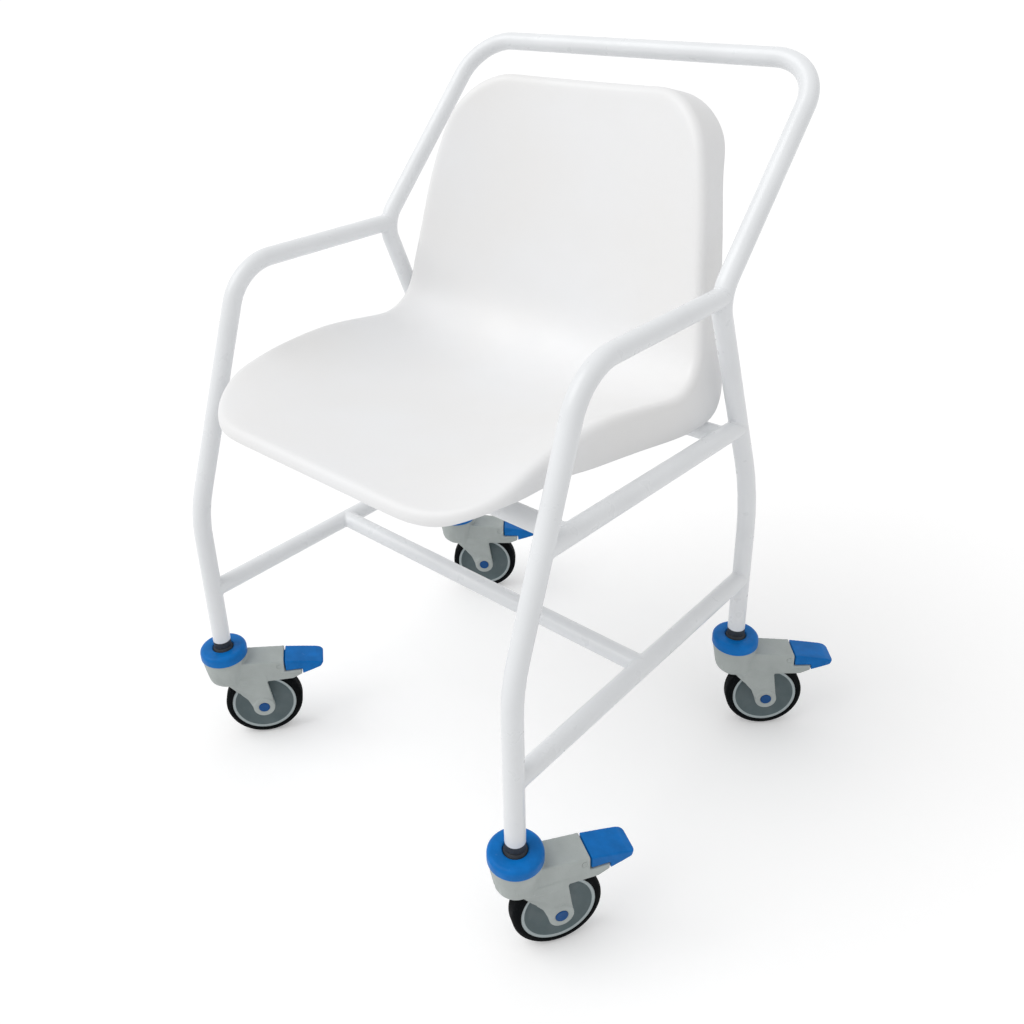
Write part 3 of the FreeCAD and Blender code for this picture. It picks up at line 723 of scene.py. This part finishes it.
class Rim:
    """Left half of the shell's outline, as a line from the middle of the lip to the middle of the top."""

    def __init__(self):
        side_start = front_corner[1]
        side_end = shell_length - top_corner[1]
        front_width = half_width(side_start)
        front = Vector((front_width - front_corner[0], 0))
        top_width = half_width(shell_length)
        top = Vector((top_width - top_corner[0], shell_length))
        front_row = corner_row(front, Vector((front_width, 0)), Vector((front_width, side_start)))
        top_row = corner_row(Vector((half_width(side_end), side_end)), Vector((top_width, shell_length)), top)
        side_steps = 2 * corner_steps
        side_row = []
        for step in range(1, side_steps):
            along = side_start + (side_end - side_start) * step / side_steps
            side_row.append(Vector((half_width(along), along)))
        front_run = [Vector((front.x * step / end_steps, 0)) for step in range(end_steps)]
        top_run = [Vector((top.x * step / end_steps, shell_length)) for step in reversed(range(end_steps))]
        self.points = front_run + front_row + side_row + top_row + top_run
        self.lengths = [0.0]
        for start, end in zip(self.points, self.points[1:]):
            self.lengths.append(self.lengths[-1] + (end - start).length)
        self.front_corner = self.lengths[end_steps + corner_steps // 2]
        self.top_corner = self.lengths[end_steps + corner_steps + side_steps + corner_steps // 2]
        self.whole = self.lengths[-1]

    def length_at(self, x, y):
        """Length along the line for a point on the edge of the grid, whose corners are at 1, 1."""
        if abs(x) > 0.9999:
            return self.front_corner + (self.top_corner - self.front_corner) * (y + 1) / 2
        if y < 0:
            return self.front_corner * abs(x)
        return self.whole - (self.whole - self.top_corner) * abs(x)

    def at(self, length):
        """Point of the line and its outward direction."""
        index = 0
        while index < len(self.lengths) - 2 and self.lengths[index + 1] < length:
            index += 1
        span = self.lengths[index + 1] - self.lengths[index]
        share = (length - self.lengths[index]) / span
        point = self.points[index].lerp(self.points[index + 1], share)
        before = self.points[index - 1] if index else Vector((-self.points[1].x, 0))
        after = (self.points[index + 2] if index + 2 < len(self.points)
                 else Vector((-self.points[-2].x, shell_length)))
        along = ((self.points[index + 1] - before).normalized().lerp(
            (after - self.points[index]).normalized(), share)).normalized()
        return point, Vector((along.y, -along.x))


class Roll:
    """Section of the rolled rim at a length along the outline."""

    def __init__(self, rim, length, radius):
        point, self.out = rim.at(length)
        self.radius = radius
        self.centre = point - self.out * radius
        inner = self.centre - self.out * slope_step
        rise = dish_height(*self.centre) - dish_height(*inner)
        self.slope = math.atan2(rise, slope_step)
        self.start = self.centre - self.out * radius * math.sin(self.slope)
        self.height = dish_height(*self.start) - radius * math.cos(self.slope)

    def place(self, outward, upward):
        spot = self.centre + self.out * outward
        return shell_point(spot.x, spot.y, self.height + upward)

    def turned(self, share):
        """Point on the roll, from its start on the dish at 0 to its outermost at 1."""
        turn = (math.pi / 2 + self.slope) * (1 - share)
        return self.place(self.radius * math.cos(turn), self.radius * math.sin(turn))

    def hanging(self, depth):
        return self.place(self.radius + depth * flange_draft, -depth)

    def flange_depth(self):
        """Depth at which the flange meets the skirt's lower edge or the back's rear edge."""
        low, high = 0.0, flange_first
        while high < flange_most and kept(self.hanging(high)):
            low, high = high, high + flange_step
        for _ in range(flange_halvings):
            middle = (low + high) / 2
            low, high = (middle, high) if kept(self.hanging(middle)) else (low, middle)
        return max(low, flange_least)


def kept(point):
    """True above the skirt's lower edge and before the flange's rear edge."""
    over_skirt = point.z >= smooth_value(skirt_places, skirt_heights, min(point.y, skirt_places[-1]))
    return over_skirt and point.y <= smooth_value(flange_heights, flange_places, point.z)


def grid_place(rim, x, y, radius):
    """Point of the dish for a point of the grid: the edges follow the rim, the inside is between them."""
    def edge(edge_x, edge_y):
        spot = Roll(rim, rim.length_at(edge_x, edge_y), radius).start
        return Vector((math.copysign(spot.x, edge_x), spot.y))

    u, v = (x + 1) / 2, (y + 1) / 2
    sides = edge(-1, y) * (1 - u) + edge(1, y) * u
    ends = edge(x, -1) * (1 - v) + edge(x, 1) * v
    corners_part = ((edge(-1, -1) * (1 - u) + edge(1, -1) * u) * (1 - v)
                    + (edge(-1, 1) * (1 - u) + edge(1, 1) * u) * v)
    return sides + ends - corners_part


def shell_skin(radius):
    """Upper skin of the shell: a grid laid on the dish, then its edge rolled over and hung down."""
    rim = Rim()
    bm = bmesh.new()
    bmesh.ops.create_grid(bm, x_segments=skin_columns, y_segments=skin_rows, size=1)
    length_of = bm.verts.layers.float.new("rim_length")
    side_of = bm.verts.layers.float.new("rim_side")

    def drawn_out(edges, place):
        """New row along the skin's edge, each point placed by its length along the rim."""
        geom = bmesh.ops.extrude_edge_only(bm, edges=edges)["geom"]
        for vert in verts_in(geom):
            point = place(vert[length_of])
            vert.co = (point.x * vert[side_of], point.y, point.z)
        return ring_edges(geom)

    for vert in bm.verts:
        x, y = vert.co.x, vert.co.y
        if vert.is_boundary:
            vert[length_of] = rim.length_at(x, y)
            vert[side_of] = -1.0 if x < 0 else 1.0
        spot = grid_place(rim, x, y, radius)
        vert.co = shell_point(spot.x, spot.y, dish_height(spot.x, spot.y))
    edges = [edge for edge in bm.edges if edge.is_boundary]
    lengths = {vert[length_of] for edge in edges for vert in edge.verts}
    rolls = {length: Roll(rim, length, radius) for length in lengths}
    depths = {length: roll.flange_depth() for length, roll in rolls.items()}
    for share in roll_shares:
        edges = drawn_out(edges, lambda length: rolls[length].turned(share))
    for share in flange_shares:
        edges = drawn_out(edges, lambda length: rolls[length].hanging(depths[length] * share))
    outwards(bm)
    middle = min(bm.faces, key=lambda face: (face.calc_center_median() - Vector((0, 0, lip[1]))).length)
    if middle.normal.z < 0:
        bmesh.ops.reverse_faces(bm, faces=bm.faces)
    return bm


def wall_place(x, y, depth):
    """Point inside the shell's wall over a place on the floor, or the last one before it."""
    low, high = 0.0, pan_length + seat_bend_length
    for _ in range(wall_halvings):
        along = (low + high) / 2
        point = shell_point(x, along, dish_height(x, along) - depth)
        low, high = (along, high) if point.y < y else (low, along)
    return point


# Castors

def spun(points, centre, axis, rounds, steps):
    """Closed section turned about an axis, then each named corner rounded by its own radius."""
    bm = bmesh.new()
    verts = [bm.verts.new(point) for point in points]
    edges = [bm.edges.new((start, end)) for start, end in zip(verts, verts[1:] + verts[:1])]
    swept(bm, verts + edges, centre, axis, 2 * math.pi, steps, closed=True)
    outwards(bm)
    for radius, named in rounds:
        wanted = [ring_measure(points[index], centre, axis) for index in named]
        rings = []
        for edge in bm.edges:
            first, second = (ring_measure(vert.co, centre, axis) for vert in edge.verts)
            if near(first, second) and any(near(first, corner) for corner in wanted):
                rings.append(edge)
        rounded(bm, rings, radius, corner_rows)
    bmesh.ops.recalc_face_normals(bm, faces=bm.faces)
    return bm


def ring_measure(point, centre, axis):
    """Distance from the axis and place along it."""
    offset = Vector(point) - Vector(centre)
    along = offset.dot(axis)
    return (offset - Vector(axis) * along).length, along


def near(first, second):
    return all(abs(one - other) < ring_tolerance for one, other in zip(first, second))


def turned_upright(section, rounds, steps):
    points = [Vector((radius, 0, height)) for radius, height in section]
    return spun(points, (0, 0, 0), UP, rounds, steps)


def turned_on_axle(section, rounds):
    points = [Vector((trail + radius, across, wheel_radius)) for radius, across in section]
    return spun(points, axle_centre, AXLE, rounds, wheel_steps)


def ring_cap(shoulder_round):
    """Blue ring over the swivel: rounded shoulder, soft inner edge and a thin foot."""
    shoulder, inner_edge, foot = [4], [5], [1, 3]
    rounds = [(shoulder_round, shoulder), (2.2, inner_edge), (0.4, foot)]
    return turned_upright(ring_section, rounds, turn_steps)


def stem_collar():
    """Dark expander: a collar under the tube's end and a sleeve inside the tube."""
    lower_edge = [1]
    return turned_upright(collar_section, [(0.9, lower_edge)], sleeve_steps)


def dust_seal():
    """Dark washer that closes the gap between the collar and the ring cap."""
    outer_edge = [2]
    return turned_upright(seal_section, [(0.4, outer_edge)], sleeve_steps)


def tyre():
    shoulders, inner_edges = [3, 4, 5, 6], [2, 7]
    return turned_on_axle(tyre_section, [(2.2, shoulders), (0.6, inner_edges)])


def wheel_rim():
    """Dished rim: hub, web and a raised lip round the edge, which has a material of its own: the rim's
    plastic, glossier and in a lighter colour that is a painted highlight.
    """
    section = rim_half_section + [(radius, -across) for radius, across in reversed(rim_half_section)]
    last = len(section) - 1
    hub_foot, hub_edge, lip = [2, last - 2], [1, last - 1], [6, last - 6, 7, last - 7]
    bm = turned_on_axle(section, [(2, hub_foot), (1, hub_edge), (0.7, lip)])
    # The lip's faces take the second material, whose lighter colour is a painted highlight
    for face in bm.faces:
        radius, across = ring_measure(face.calc_center_median(), axle_centre, AXLE)
        if radius > rim_lip_radius and abs(across) > rim_lip_across:
            face.material_index = 1
    return bm


def axle_cap(side):
    """Blue cap with a hollowed face, seated in the housing's boss."""
    bm = bmesh.new()
    bmesh.ops.create_cone(bm, cap_ends=True, segments=round_sides, radius1=cap_radius,
                          radius2=cap_radius, depth=cap_depth)
    top = max(bm.faces, key=lambda face: face.normal.z)
    rounded(bm, list(top.edges), cap_edge_round, 3)
    top = max(bm.faces, key=lambda face: face.normal.z)
    bmesh.ops.inset_region(bm, faces=[top], thickness=cap_rim, depth=-cap_hollow)
    lie = Matrix.Rotation(-side * math.pi / 2, 4, "X")
    place = Matrix.Translation((trail, side * (cap_seat + cap_depth / 2), wheel_radius)) @ lie
    bmesh.ops.transform(bm, matrix=place, verts=bm.verts)
    outwards(bm)
    return bm


def cad_copy(node, to_local):
    """Copy of a CAD node in the castor's own frame, its points merged and its flats made whole."""
    bm = bmesh.new()
    bm.from_mesh(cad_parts[node].data)
    bmesh.ops.scale(bm, vec=(1 / MM, 1 / MM, 1 / MM), verts=bm.verts)
    bmesh.ops.transform(bm, matrix=to_local, verts=bm.verts)
    bmesh.ops.remove_doubles(bm, verts=bm.verts, dist=cad_merge)
    bmesh.ops.dissolve_limit(bm, angle_limit=cad_flat, verts=bm.verts, edges=bm.edges)
    bmesh.ops.recalc_face_normals(bm, faces=bm.faces)
    return bm


def tuck_chin(bm):
    """Draws the underside of the swivel head in and up, below the neck."""
    for vert in bm.verts:
        if vert.co.x < chin_rear and vert.co.z < neck_height:
            depth = (neck_height - vert.co.z) * min(1, (chin_rear - vert.co.x) / chin_fade)
            narrower = 1 - depth * chin_draw
            vert.co.z += depth * chin_lift
            vert.co.y *= narrower
            vert.co.x *= narrower if vert.co.x < 0 else 1


def opening_ribs():
    """Raised edge of the housing round the pedal: over its arm, under the tread and down both sides."""
    blocks = []
    for low, high in [over_arm, *under_tread, *down_sides]:
        bm = bmesh.new()
        low, high = Vector(low), Vector(high)
        size = Matrix.Diagonal((*(high - low), 1))
        bmesh.ops.create_cube(bm, size=1, matrix=Matrix.Translation((low + high) / 2) @ size)
        blocks.append(bm)
    return blocks


def cut_away(bm, point, normal):
    """Takes away what lies on the normal's side of a plane and closes the cut."""
    cut = bmesh.ops.bisect_plane(bm, geom=bm.verts[:] + bm.edges[:] + bm.faces[:], dist=0.0001,
                                 plane_co=point, plane_no=normal, clear_outer=True)["geom_cut"]
    bmesh.ops.edgenet_fill(bm, edges=edges_in(cut))
    bmesh.ops.recalc_face_normals(bm, faces=bm.faces)


def tread_block(low, high):
    """Upright block on the tread's outline, which is round at the toe's end."""
    bm = bmesh.new()
    heel_right, heel_left = (pedal_heel, -pedal_half_width, low), (pedal_heel, pedal_half_width, low)
    toe_right, toe_left = (pedal_toe, -pedal_half_width, low), (pedal_toe, pedal_half_width, low)
    verts = [bm.verts.new(place) for place in (heel_right, toe_right, toe_left, heel_left)]
    bm.faces.new(verts)
    rounded(bm, verts[1:3], toe_round, 8, affect="VERTICES")
    top = bmesh.ops.extrude_face_region(bm, geom=bm.faces[:])["geom"]
    bmesh.ops.translate(bm, verts=verts_in(top), vec=(0, 0, high - low))
    bmesh.ops.recalc_face_normals(bm, faces=bm.faces)
    return bm


def slope_normal(start, end, up):
    """Normal of a plane that crosses the pedal through two points of its side view, x and z."""
    run, rise = end[0] - start[0], end[1] - start[1]
    return Vector((-rise, 0, run)).normalized() * up


def pedal_tread():
    """Tread of the pedal: a slab that slopes down to the toe, and the wedge under it."""
    slab = tread_block(slab_low, pedal_top[0][1] + 1)
    wedge = tread_block(wedge_line[0][1] - 1, pedal_top[0][1] + 1)
    for bm in (slab, wedge):
        for start, end in zip(pedal_top, pedal_top[1:]):
            cut_away(bm, (start[0], 0, start[1]), slope_normal(start, end, 1))
    for start, end in zip(wedge_line, wedge_line[1:]):
        cut_away(wedge, (start[0], 0, start[1]), slope_normal(start, end, -1))
    cut_away(wedge, (wedge_line[0][0], 0, 0), (-1, 0, 0))
    cut_away(slab, (wedge_line[-1][0], 0, wedge_line[-1][1]),
             slope_normal(wedge_line[-2], wedge_line[-1], -1))
    return slab, wedge


def joined(*meshes):
    """One mesh from several closed ones."""
    bm = bmesh.new()
    for part in meshes:
        mesh = mesh_of(part, "part")
        bm.from_mesh(mesh)
        bpy.data.meshes.remove(mesh)
    return bm


def moulded(bm, grain, passes):
    """Evens out a mesh to small faces and melts its edges to the soft rounds of a moulding."""
    mesh = mesh_of(bm, "moulding")
    obj = in_scene("moulding", mesh)
    remesh = obj.modifiers.new("even faces", "REMESH")
    remesh.mode = "VOXEL"
    remesh.voxel_size = grain
    melt = obj.modifiers.new("melted edges", "SMOOTH")
    melt.iterations = passes
    bpy.context.view_layer.update()
    result = bpy.data.meshes.new_from_object(obj.evaluated_get(bpy.context.evaluated_depsgraph_get()))
    soft = bmesh.new()
    soft.from_mesh(result)
    bpy.data.objects.remove(obj)
    bpy.data.meshes.remove(mesh)
    bpy.data.meshes.remove(result)
    return soft


def castor_place(side, end, heading):
    """Turns and moves the castor's own frame to its corner, in millimetres."""
    spot = Matrix.Translation((side * half_track, end * half_base, 0))
    return spot @ Matrix.Rotation(math.radians(heading), 4, "Z")


def at_corners(bm, name, body, materials, node=None, sharp=moulding_edge):
    """Puts one castor piece at all four corners, as a mesh of its own at each."""
    for corner, side, end, heading in corners:
        copy = bm.copy()
        bmesh.ops.transform(copy, matrix=castor_place(side, end, heading), verts=copy.verts)
        nodes = [corner + "_" + node] if node else []
        piece(copy, corner + "_" + name, body.replace("CORNER", corner), materials, nodes, sharp)
    bm.free()


# Operators

class SHOWERCHAIR_OT_frame_tubes(bpy.types.Operator):
    """Make the bent tubes, the rails and the cross tubes"""

    bl_idname = "shower_chair.frame_tubes"
    bl_label = "Frame tubes"

    def execute(self, context):
        settings = context.scene.shower_chair_frame
        radius = settings.tube_radius / MM
        paint = [painted_steel(settings.paint)]
        rear_radii = [rear_knee[1], junction[2], handle_corner[3]]
        tubes = [("push_handle_and_rear_legs", "rear_legs_and_push_handle_tube", rear_points(),
                  rear_radii + rear_radii[::-1])]
        for side, word in ((1, "left"), (-1, "right")):
            arm = front_points(side)
            arm[-1].y = bend_middle(side).y
            tubes.append((word + "_arm_and_front_leg", "front_" + word + "_leg_and_arm_tube", arm,
                          [front_knee[1], arm_corner[2]]))
            tubes.append((word + "_seat_rail_tube", word + "_seat_rail", seat_rail(side), []))
            tubes.append((word + "_lower_rail_tube", word + "_lower_rail", lower_rail(side), []))
        names = ("front_seat_cross_tube", "rear_seat_cross_tube", "lower_cross_tube")
        for name, ends in zip(names, cross_ends()):
            tubes.append((name + "_skin", name, ends, []))
        for name, node, points, radii in tubes:
            bm = bmesh.new()
            bent_tube(bm, points, radii, radius, settings.tube_sides)
            piece(bm, name, "frame", paint, [node], tube_edge)
        return {"FINISHED"}


class SHOWERCHAIR_OT_weld_beads(bpy.types.Operator):
    """Lay the weld beads where the tubes meet"""

    bl_idname = "shower_chair.weld_beads"
    bl_label = "Weld beads"

    def execute(self, context):
        settings = context.scene.shower_chair_frame
        radius = settings.tube_radius / MM
        size = settings.bead_radius / MM
        bm = bmesh.new()
        for side in (1, -1):
            front = front_points(side)
            rear = rear_side(side)
            front_run = (front[2] - front[1]).normalized()
            rear_run = (rear[2] - rear[1]).normalized()
            handle_run = (rear[3] - rear[2]).normalized()
            rail, low = seat_rail(side), lower_rail(side)
            rail_run = (rail[1] - rail[0]).normalized()
            low_run = (low[1] - low[0]).normalized()
            joints = [(rear[2], -low_run, bend_middle(side), (rear_run + handle_run).normalized()),
                      (rail[0], rail_run, rail[0], front_run), (rail[1], -rail_run, rail[1], rear_run),
                      (low[0], low_run, low[0], UP), (low[1], -low_run, low[1], UP)]
            inward = Vector((-side, 0, 0))
            for line, y, run in ((rail, front_cross_y, rail_run), (rail, rear_cross_y, rail_run),
                                 (low, 0, low_run)):
                spot = rail_place(line, y)
                joints.append((spot, inward, spot, run))
            for spot, heading, main_point, main_heading in joints:
                weld_bead(bm, spot, heading, main_point, main_heading, radius, size)
        outwards(bm)
        piece(bm, "weld_beads", "frame", [bpy.data.materials["painted_steel"]])
        return {"FINISHED"}


class SHOWERCHAIR_OT_seat_shell(bpy.types.Operator):
    """Make the moulded seat shell with its rolled rim, and the bosses under it"""

    bl_idname = "shower_chair.seat_shell"
    bl_label = "Seat shell"

    def execute(self, context):
        settings = context.scene.shower_chair_shell
        plastic = [shell_plastic(settings.plastic)]
        bm = shell_skin(settings.roll_radius / MM)
        shell = piece(bm, "moulded_shell", "frame", plastic, ["seat_shell"])
        wall = shell.modifiers.new("wall", "SOLIDIFY")
        wall.thickness = settings.wall
        wall.offset = -1
        wall.use_even_offset = True
        wall.edge_crease_inner = wall.edge_crease_outer = edge_crease
        fine = shell.modifiers.new("smooth skin", "SUBSURF")
        fine.levels = fine.render_levels = skin_levels
        self.bosses(plastic, settings.wall / MM / 2)
        return {"FINISHED"}

    def bosses(self, plastic, depth):
        """Round bosses that carry the inserts, each shaped to the shell above it."""
        bm = bmesh.new()
        for y in (front_cross_y, rear_cross_y):
            for side in (1, -1):
                foot = rail_place(seat_rail(side), y).z + saddle_top
                place = Matrix.Translation((side * screw_x, y, foot))
                ring = bmesh.ops.create_circle(bm, cap_ends=True, radius=boss_radius,
                                               segments=round_sides, matrix=place)["verts"]
                geom = bmesh.ops.extrude_edge_only(bm, edges=edges_at(ring))["geom"]
                for vert in verts_in(geom):
                    vert.co = wall_place(vert.co.x, vert.co.y, depth)
                bmesh.ops.contextual_create(bm, geom=ring_edges(geom))
        outwards(bm)
        piece(bm, "shell_bosses", "frame", plastic, sharp=moulding_edge)


class SHOWERCHAIR_OT_castor_tops(bpy.types.Operator):
    """Make the ring caps, the collars and the housings of the castors"""

    bl_idname = "shower_chair.castor_tops"
    bl_label = "Castor caps and housings"

    def execute(self, context):
        settings = context.scene.shower_chair_castors
        blue = [blue_plastic("blue_plastic", settings.blue)]
        at_corners(ring_cap(settings.cap_round / MM), "blue_ring", "CORNER_fork", blue,
                   "ring_cap")
        dark = [dark_plastic()]
        at_corners(stem_collar(), "stem_collar", "frame", dark, "castor_expander")
        at_corners(dust_seal(), "dust_seal", "frame", dark)
        to_local = castor_place(*corners[0][1:]).inverted()
        housing = cad_copy("front_left_castor_housing", to_local)
        tuck_chin(housing)
        housing = moulded(joined(housing, *opening_ribs()), settings.grain / MM, settings.housing_passes)
        at_corners(housing, "grey_housing", "CORNER_fork",
                   [housing_plastic(settings.housing)], "castor_housing", sharp=None)
        arm = cad_copy("front_left_brake_pedal", to_local)
        cut_away(arm, (pedal_heel + 1, 0, 0), (1, 0, 0))
        pedal = moulded(joined(arm, *pedal_tread()), settings.grain / MM, settings.pedal_passes)
        at_corners(pedal, "blue_pedal", "CORNER_pedal", blue, "brake_pedal", sharp=None)
        return {"FINISHED"}


class SHOWERCHAIR_OT_wheels(bpy.types.Operator):
    """Make the rims, the tyres and the axle caps"""

    bl_idname = "shower_chair.wheels"
    bl_label = "Wheels"

    def execute(self, context):
        settings = context.scene.shower_chair_castors
        # The second material is the rim's plastic with less roughness, in a lighter colour that is a painted
        # highlight on the lip
        rims = [rim_plastic("rim_plastic", settings.rim, 0.42),
                rim_plastic("lip_highlight_plastic", settings.lip_highlight, 0.3)]
        at_corners(wheel_rim(), "dished_rim", "CORNER_wheel", rims, "wheel_rim")
        at_corners(tyre(), "rubber_tyre", "CORNER_wheel", [tyre_rubber(settings.tyre)],
                   "tyre")
        at_corners(joined(axle_cap(1), axle_cap(-1)), "axle_discs", "CORNER_fork",
                   [blue_plastic("axle_blue_plastic", settings.axle_blue)], "axle_caps")
        return {"FINISHED"}


class SHOWERCHAIR_OT_fixings(bpy.types.Operator):
    """Finish the screws, inserts, saddles, stems, pins and bolts"""

    bl_idname = "shower_chair.fixings"
    bl_label = "Fixings"

    def execute(self, context):
        steel = plated_steel()
        repaint("seat_screws", steel)
        repaint("seat_screw_inserts", insert_brass())
        repaint("seat_tube_saddles", bpy.data.materials["dark_plastic"])
        for corner, *_ in corners:
            for part in ("castor_stem", "swivel_bearing", "axle_bolt"):
                repaint(corner + "_" + part, steel)
            repaint(corner + "_pedal_pin", bpy.data.materials["housing_plastic"])
        return {"FINISHED"}


class SHOWERCHAIR_OT_stage(bpy.types.Operator):
    """Set up the floor, the light and the camera"""

    bl_idname = "shower_chair.stage"
    bl_label = "Stage"

    def execute(self, context):
        settings = context.scene.shower_chair_stage
        context.scene.view_settings.view_transform = "Standard"
        self.floor(settings.floor_reach)
        self.sky(context.scene, settings.sky)
        self.key_light(settings.key)
        self.camera(context.scene)
        return {"FINISHED"}

    def floor(self, reach):
        """White floor that keeps the chair's shadow."""
        bm = bmesh.new()
        bmesh.ops.create_grid(bm, x_segments=2, y_segments=2, size=reach)
        mesh = mesh_of(bm, "floor")
        white = Finish("floor_white", (floor_grey, floor_grey, floor_grey), roughness=1, specular=0)
        white.give("Emission Color", (1, 1, 1, 1))
        seen = self.seen(white.tree, "Is Camera Ray", "Is Glossy Ray")
        white.feed("Emission Strength", white.spread(seen, 0, 1, 0, floor_lift))
        mesh.materials.append(white.material)
        in_scene("floor", mesh)

    def seen(self, tree, *rays):
        """1 for the rays of these kinds, and 0 for the others."""
        path = tree.nodes.new("ShaderNodeLightPath")
        result = path.outputs[rays[0]]
        for ray in rays[1:]:
            node = tree.nodes.new("ShaderNodeMath")
            node.operation = "MAXIMUM"
            tree.links.new(result, node.inputs[0])
            tree.links.new(path.outputs[ray], node.inputs[1])
            result = node.outputs[0]
        return result

    def sky(self, scene, strength):
        """Even white light, seen itself as plain white."""
        world = bpy.data.worlds.new("studio")
        scene.world = world
        world.use_nodes = True
        tree = world.node_tree
        light = tree.nodes["Background"]
        light.inputs["Color"].default_value = (1, 1, 1, 1)
        level = tree.nodes.new("ShaderNodeMapRange")
        level.inputs["To Min"].default_value = strength
        level.inputs["To Max"].default_value = 1
        seen = self.seen(tree, "Is Camera Ray", "Is Glossy Ray", "Is Transmission Ray")
        tree.links.new(seen, level.inputs["Value"])
        tree.links.new(level.outputs["Result"], light.inputs["Strength"])

    def key_light(self, strength):
        data = bpy.data.lights.new("key_light", "SUN")
        data.energy = strength
        data.angle = key_width
        light = in_scene("key_light", data)
        light.rotation_euler = Vector(key_from).to_track_quat("Z", "Y").to_euler()

    def camera(self, scene):
        """Camera where the photograph was taken from."""
        yaw, pitch, roll = (math.radians(angle) for angle in (camera_yaw, camera_pitch, camera_roll))
        data = bpy.data.cameras.new("photo_camera")
        data.sensor_width = camera_sensor
        data.lens = camera_lens
        data.shift_x, data.shift_y = camera_shift
        camera = in_scene("photo_camera", data)
        upwards = Matrix.Rotation(math.pi / 2 + pitch, 4, "X") @ Matrix.Rotation(roll, 4, "Z")
        camera.matrix_world = Matrix.Translation(camera_place) @ Matrix.Rotation(yaw, 4, "Z") @ upwards
        scene.camera = camera


class SHOWERCHAIR_PT_panel(bpy.types.Panel):
    """Lists the chair's pieces and their settings"""

    bl_label = "Shower chair"
    bl_idname = "SHOWERCHAIR_PT_panel"
    bl_space_type = "VIEW_3D"
    bl_region_type = "UI"
    bl_category = "Shower chair"

    def draw(self, context):
        for operator in operators:
            self.layout.operator(operator.bl_idname)
        for name in settings_groups:
            group = getattr(context.scene, name)
            box = self.layout.box()
            for key in group.__annotations__:
                box.prop(group, key)


operators = [SHOWERCHAIR_OT_frame_tubes, SHOWERCHAIR_OT_weld_beads, SHOWERCHAIR_OT_seat_shell,
             SHOWERCHAIR_OT_castor_tops, SHOWERCHAIR_OT_wheels, SHOWERCHAIR_OT_fixings,
             SHOWERCHAIR_OT_stage]
settings_groups = {"shower_chair_frame": FrameSettings, "shower_chair_shell": ShellSettings,
                   "shower_chair_castors": CastorSettings, "shower_chair_stage": StageSettings}


def register():
    for item in (*settings_groups.values(), *operators, SHOWERCHAIR_PT_panel):
        bpy.utils.register_class(item)
    for name, group in settings_groups.items():
        setattr(bpy.types.Scene, name, PointerProperty(type=group))


def unregister():
    for name in settings_groups:
        delattr(bpy.types.Scene, name)
    for item in (SHOWERCHAIR_PT_panel, *reversed(operators), *reversed(settings_groups.values())):
        bpy.utils.unregister_class(item)


def main():
    register()
    bpy.ops.shower_chair.frame_tubes()
    bpy.ops.shower_chair.weld_beads()
    bpy.ops.shower_chair.seat_shell()
    bpy.ops.shower_chair.castor_tops()
    bpy.ops.shower_chair.wheels()
    bpy.ops.shower_chair.fixings()
    bpy.ops.shower_chair.stage()


if __name__ == "__main__":
    main()
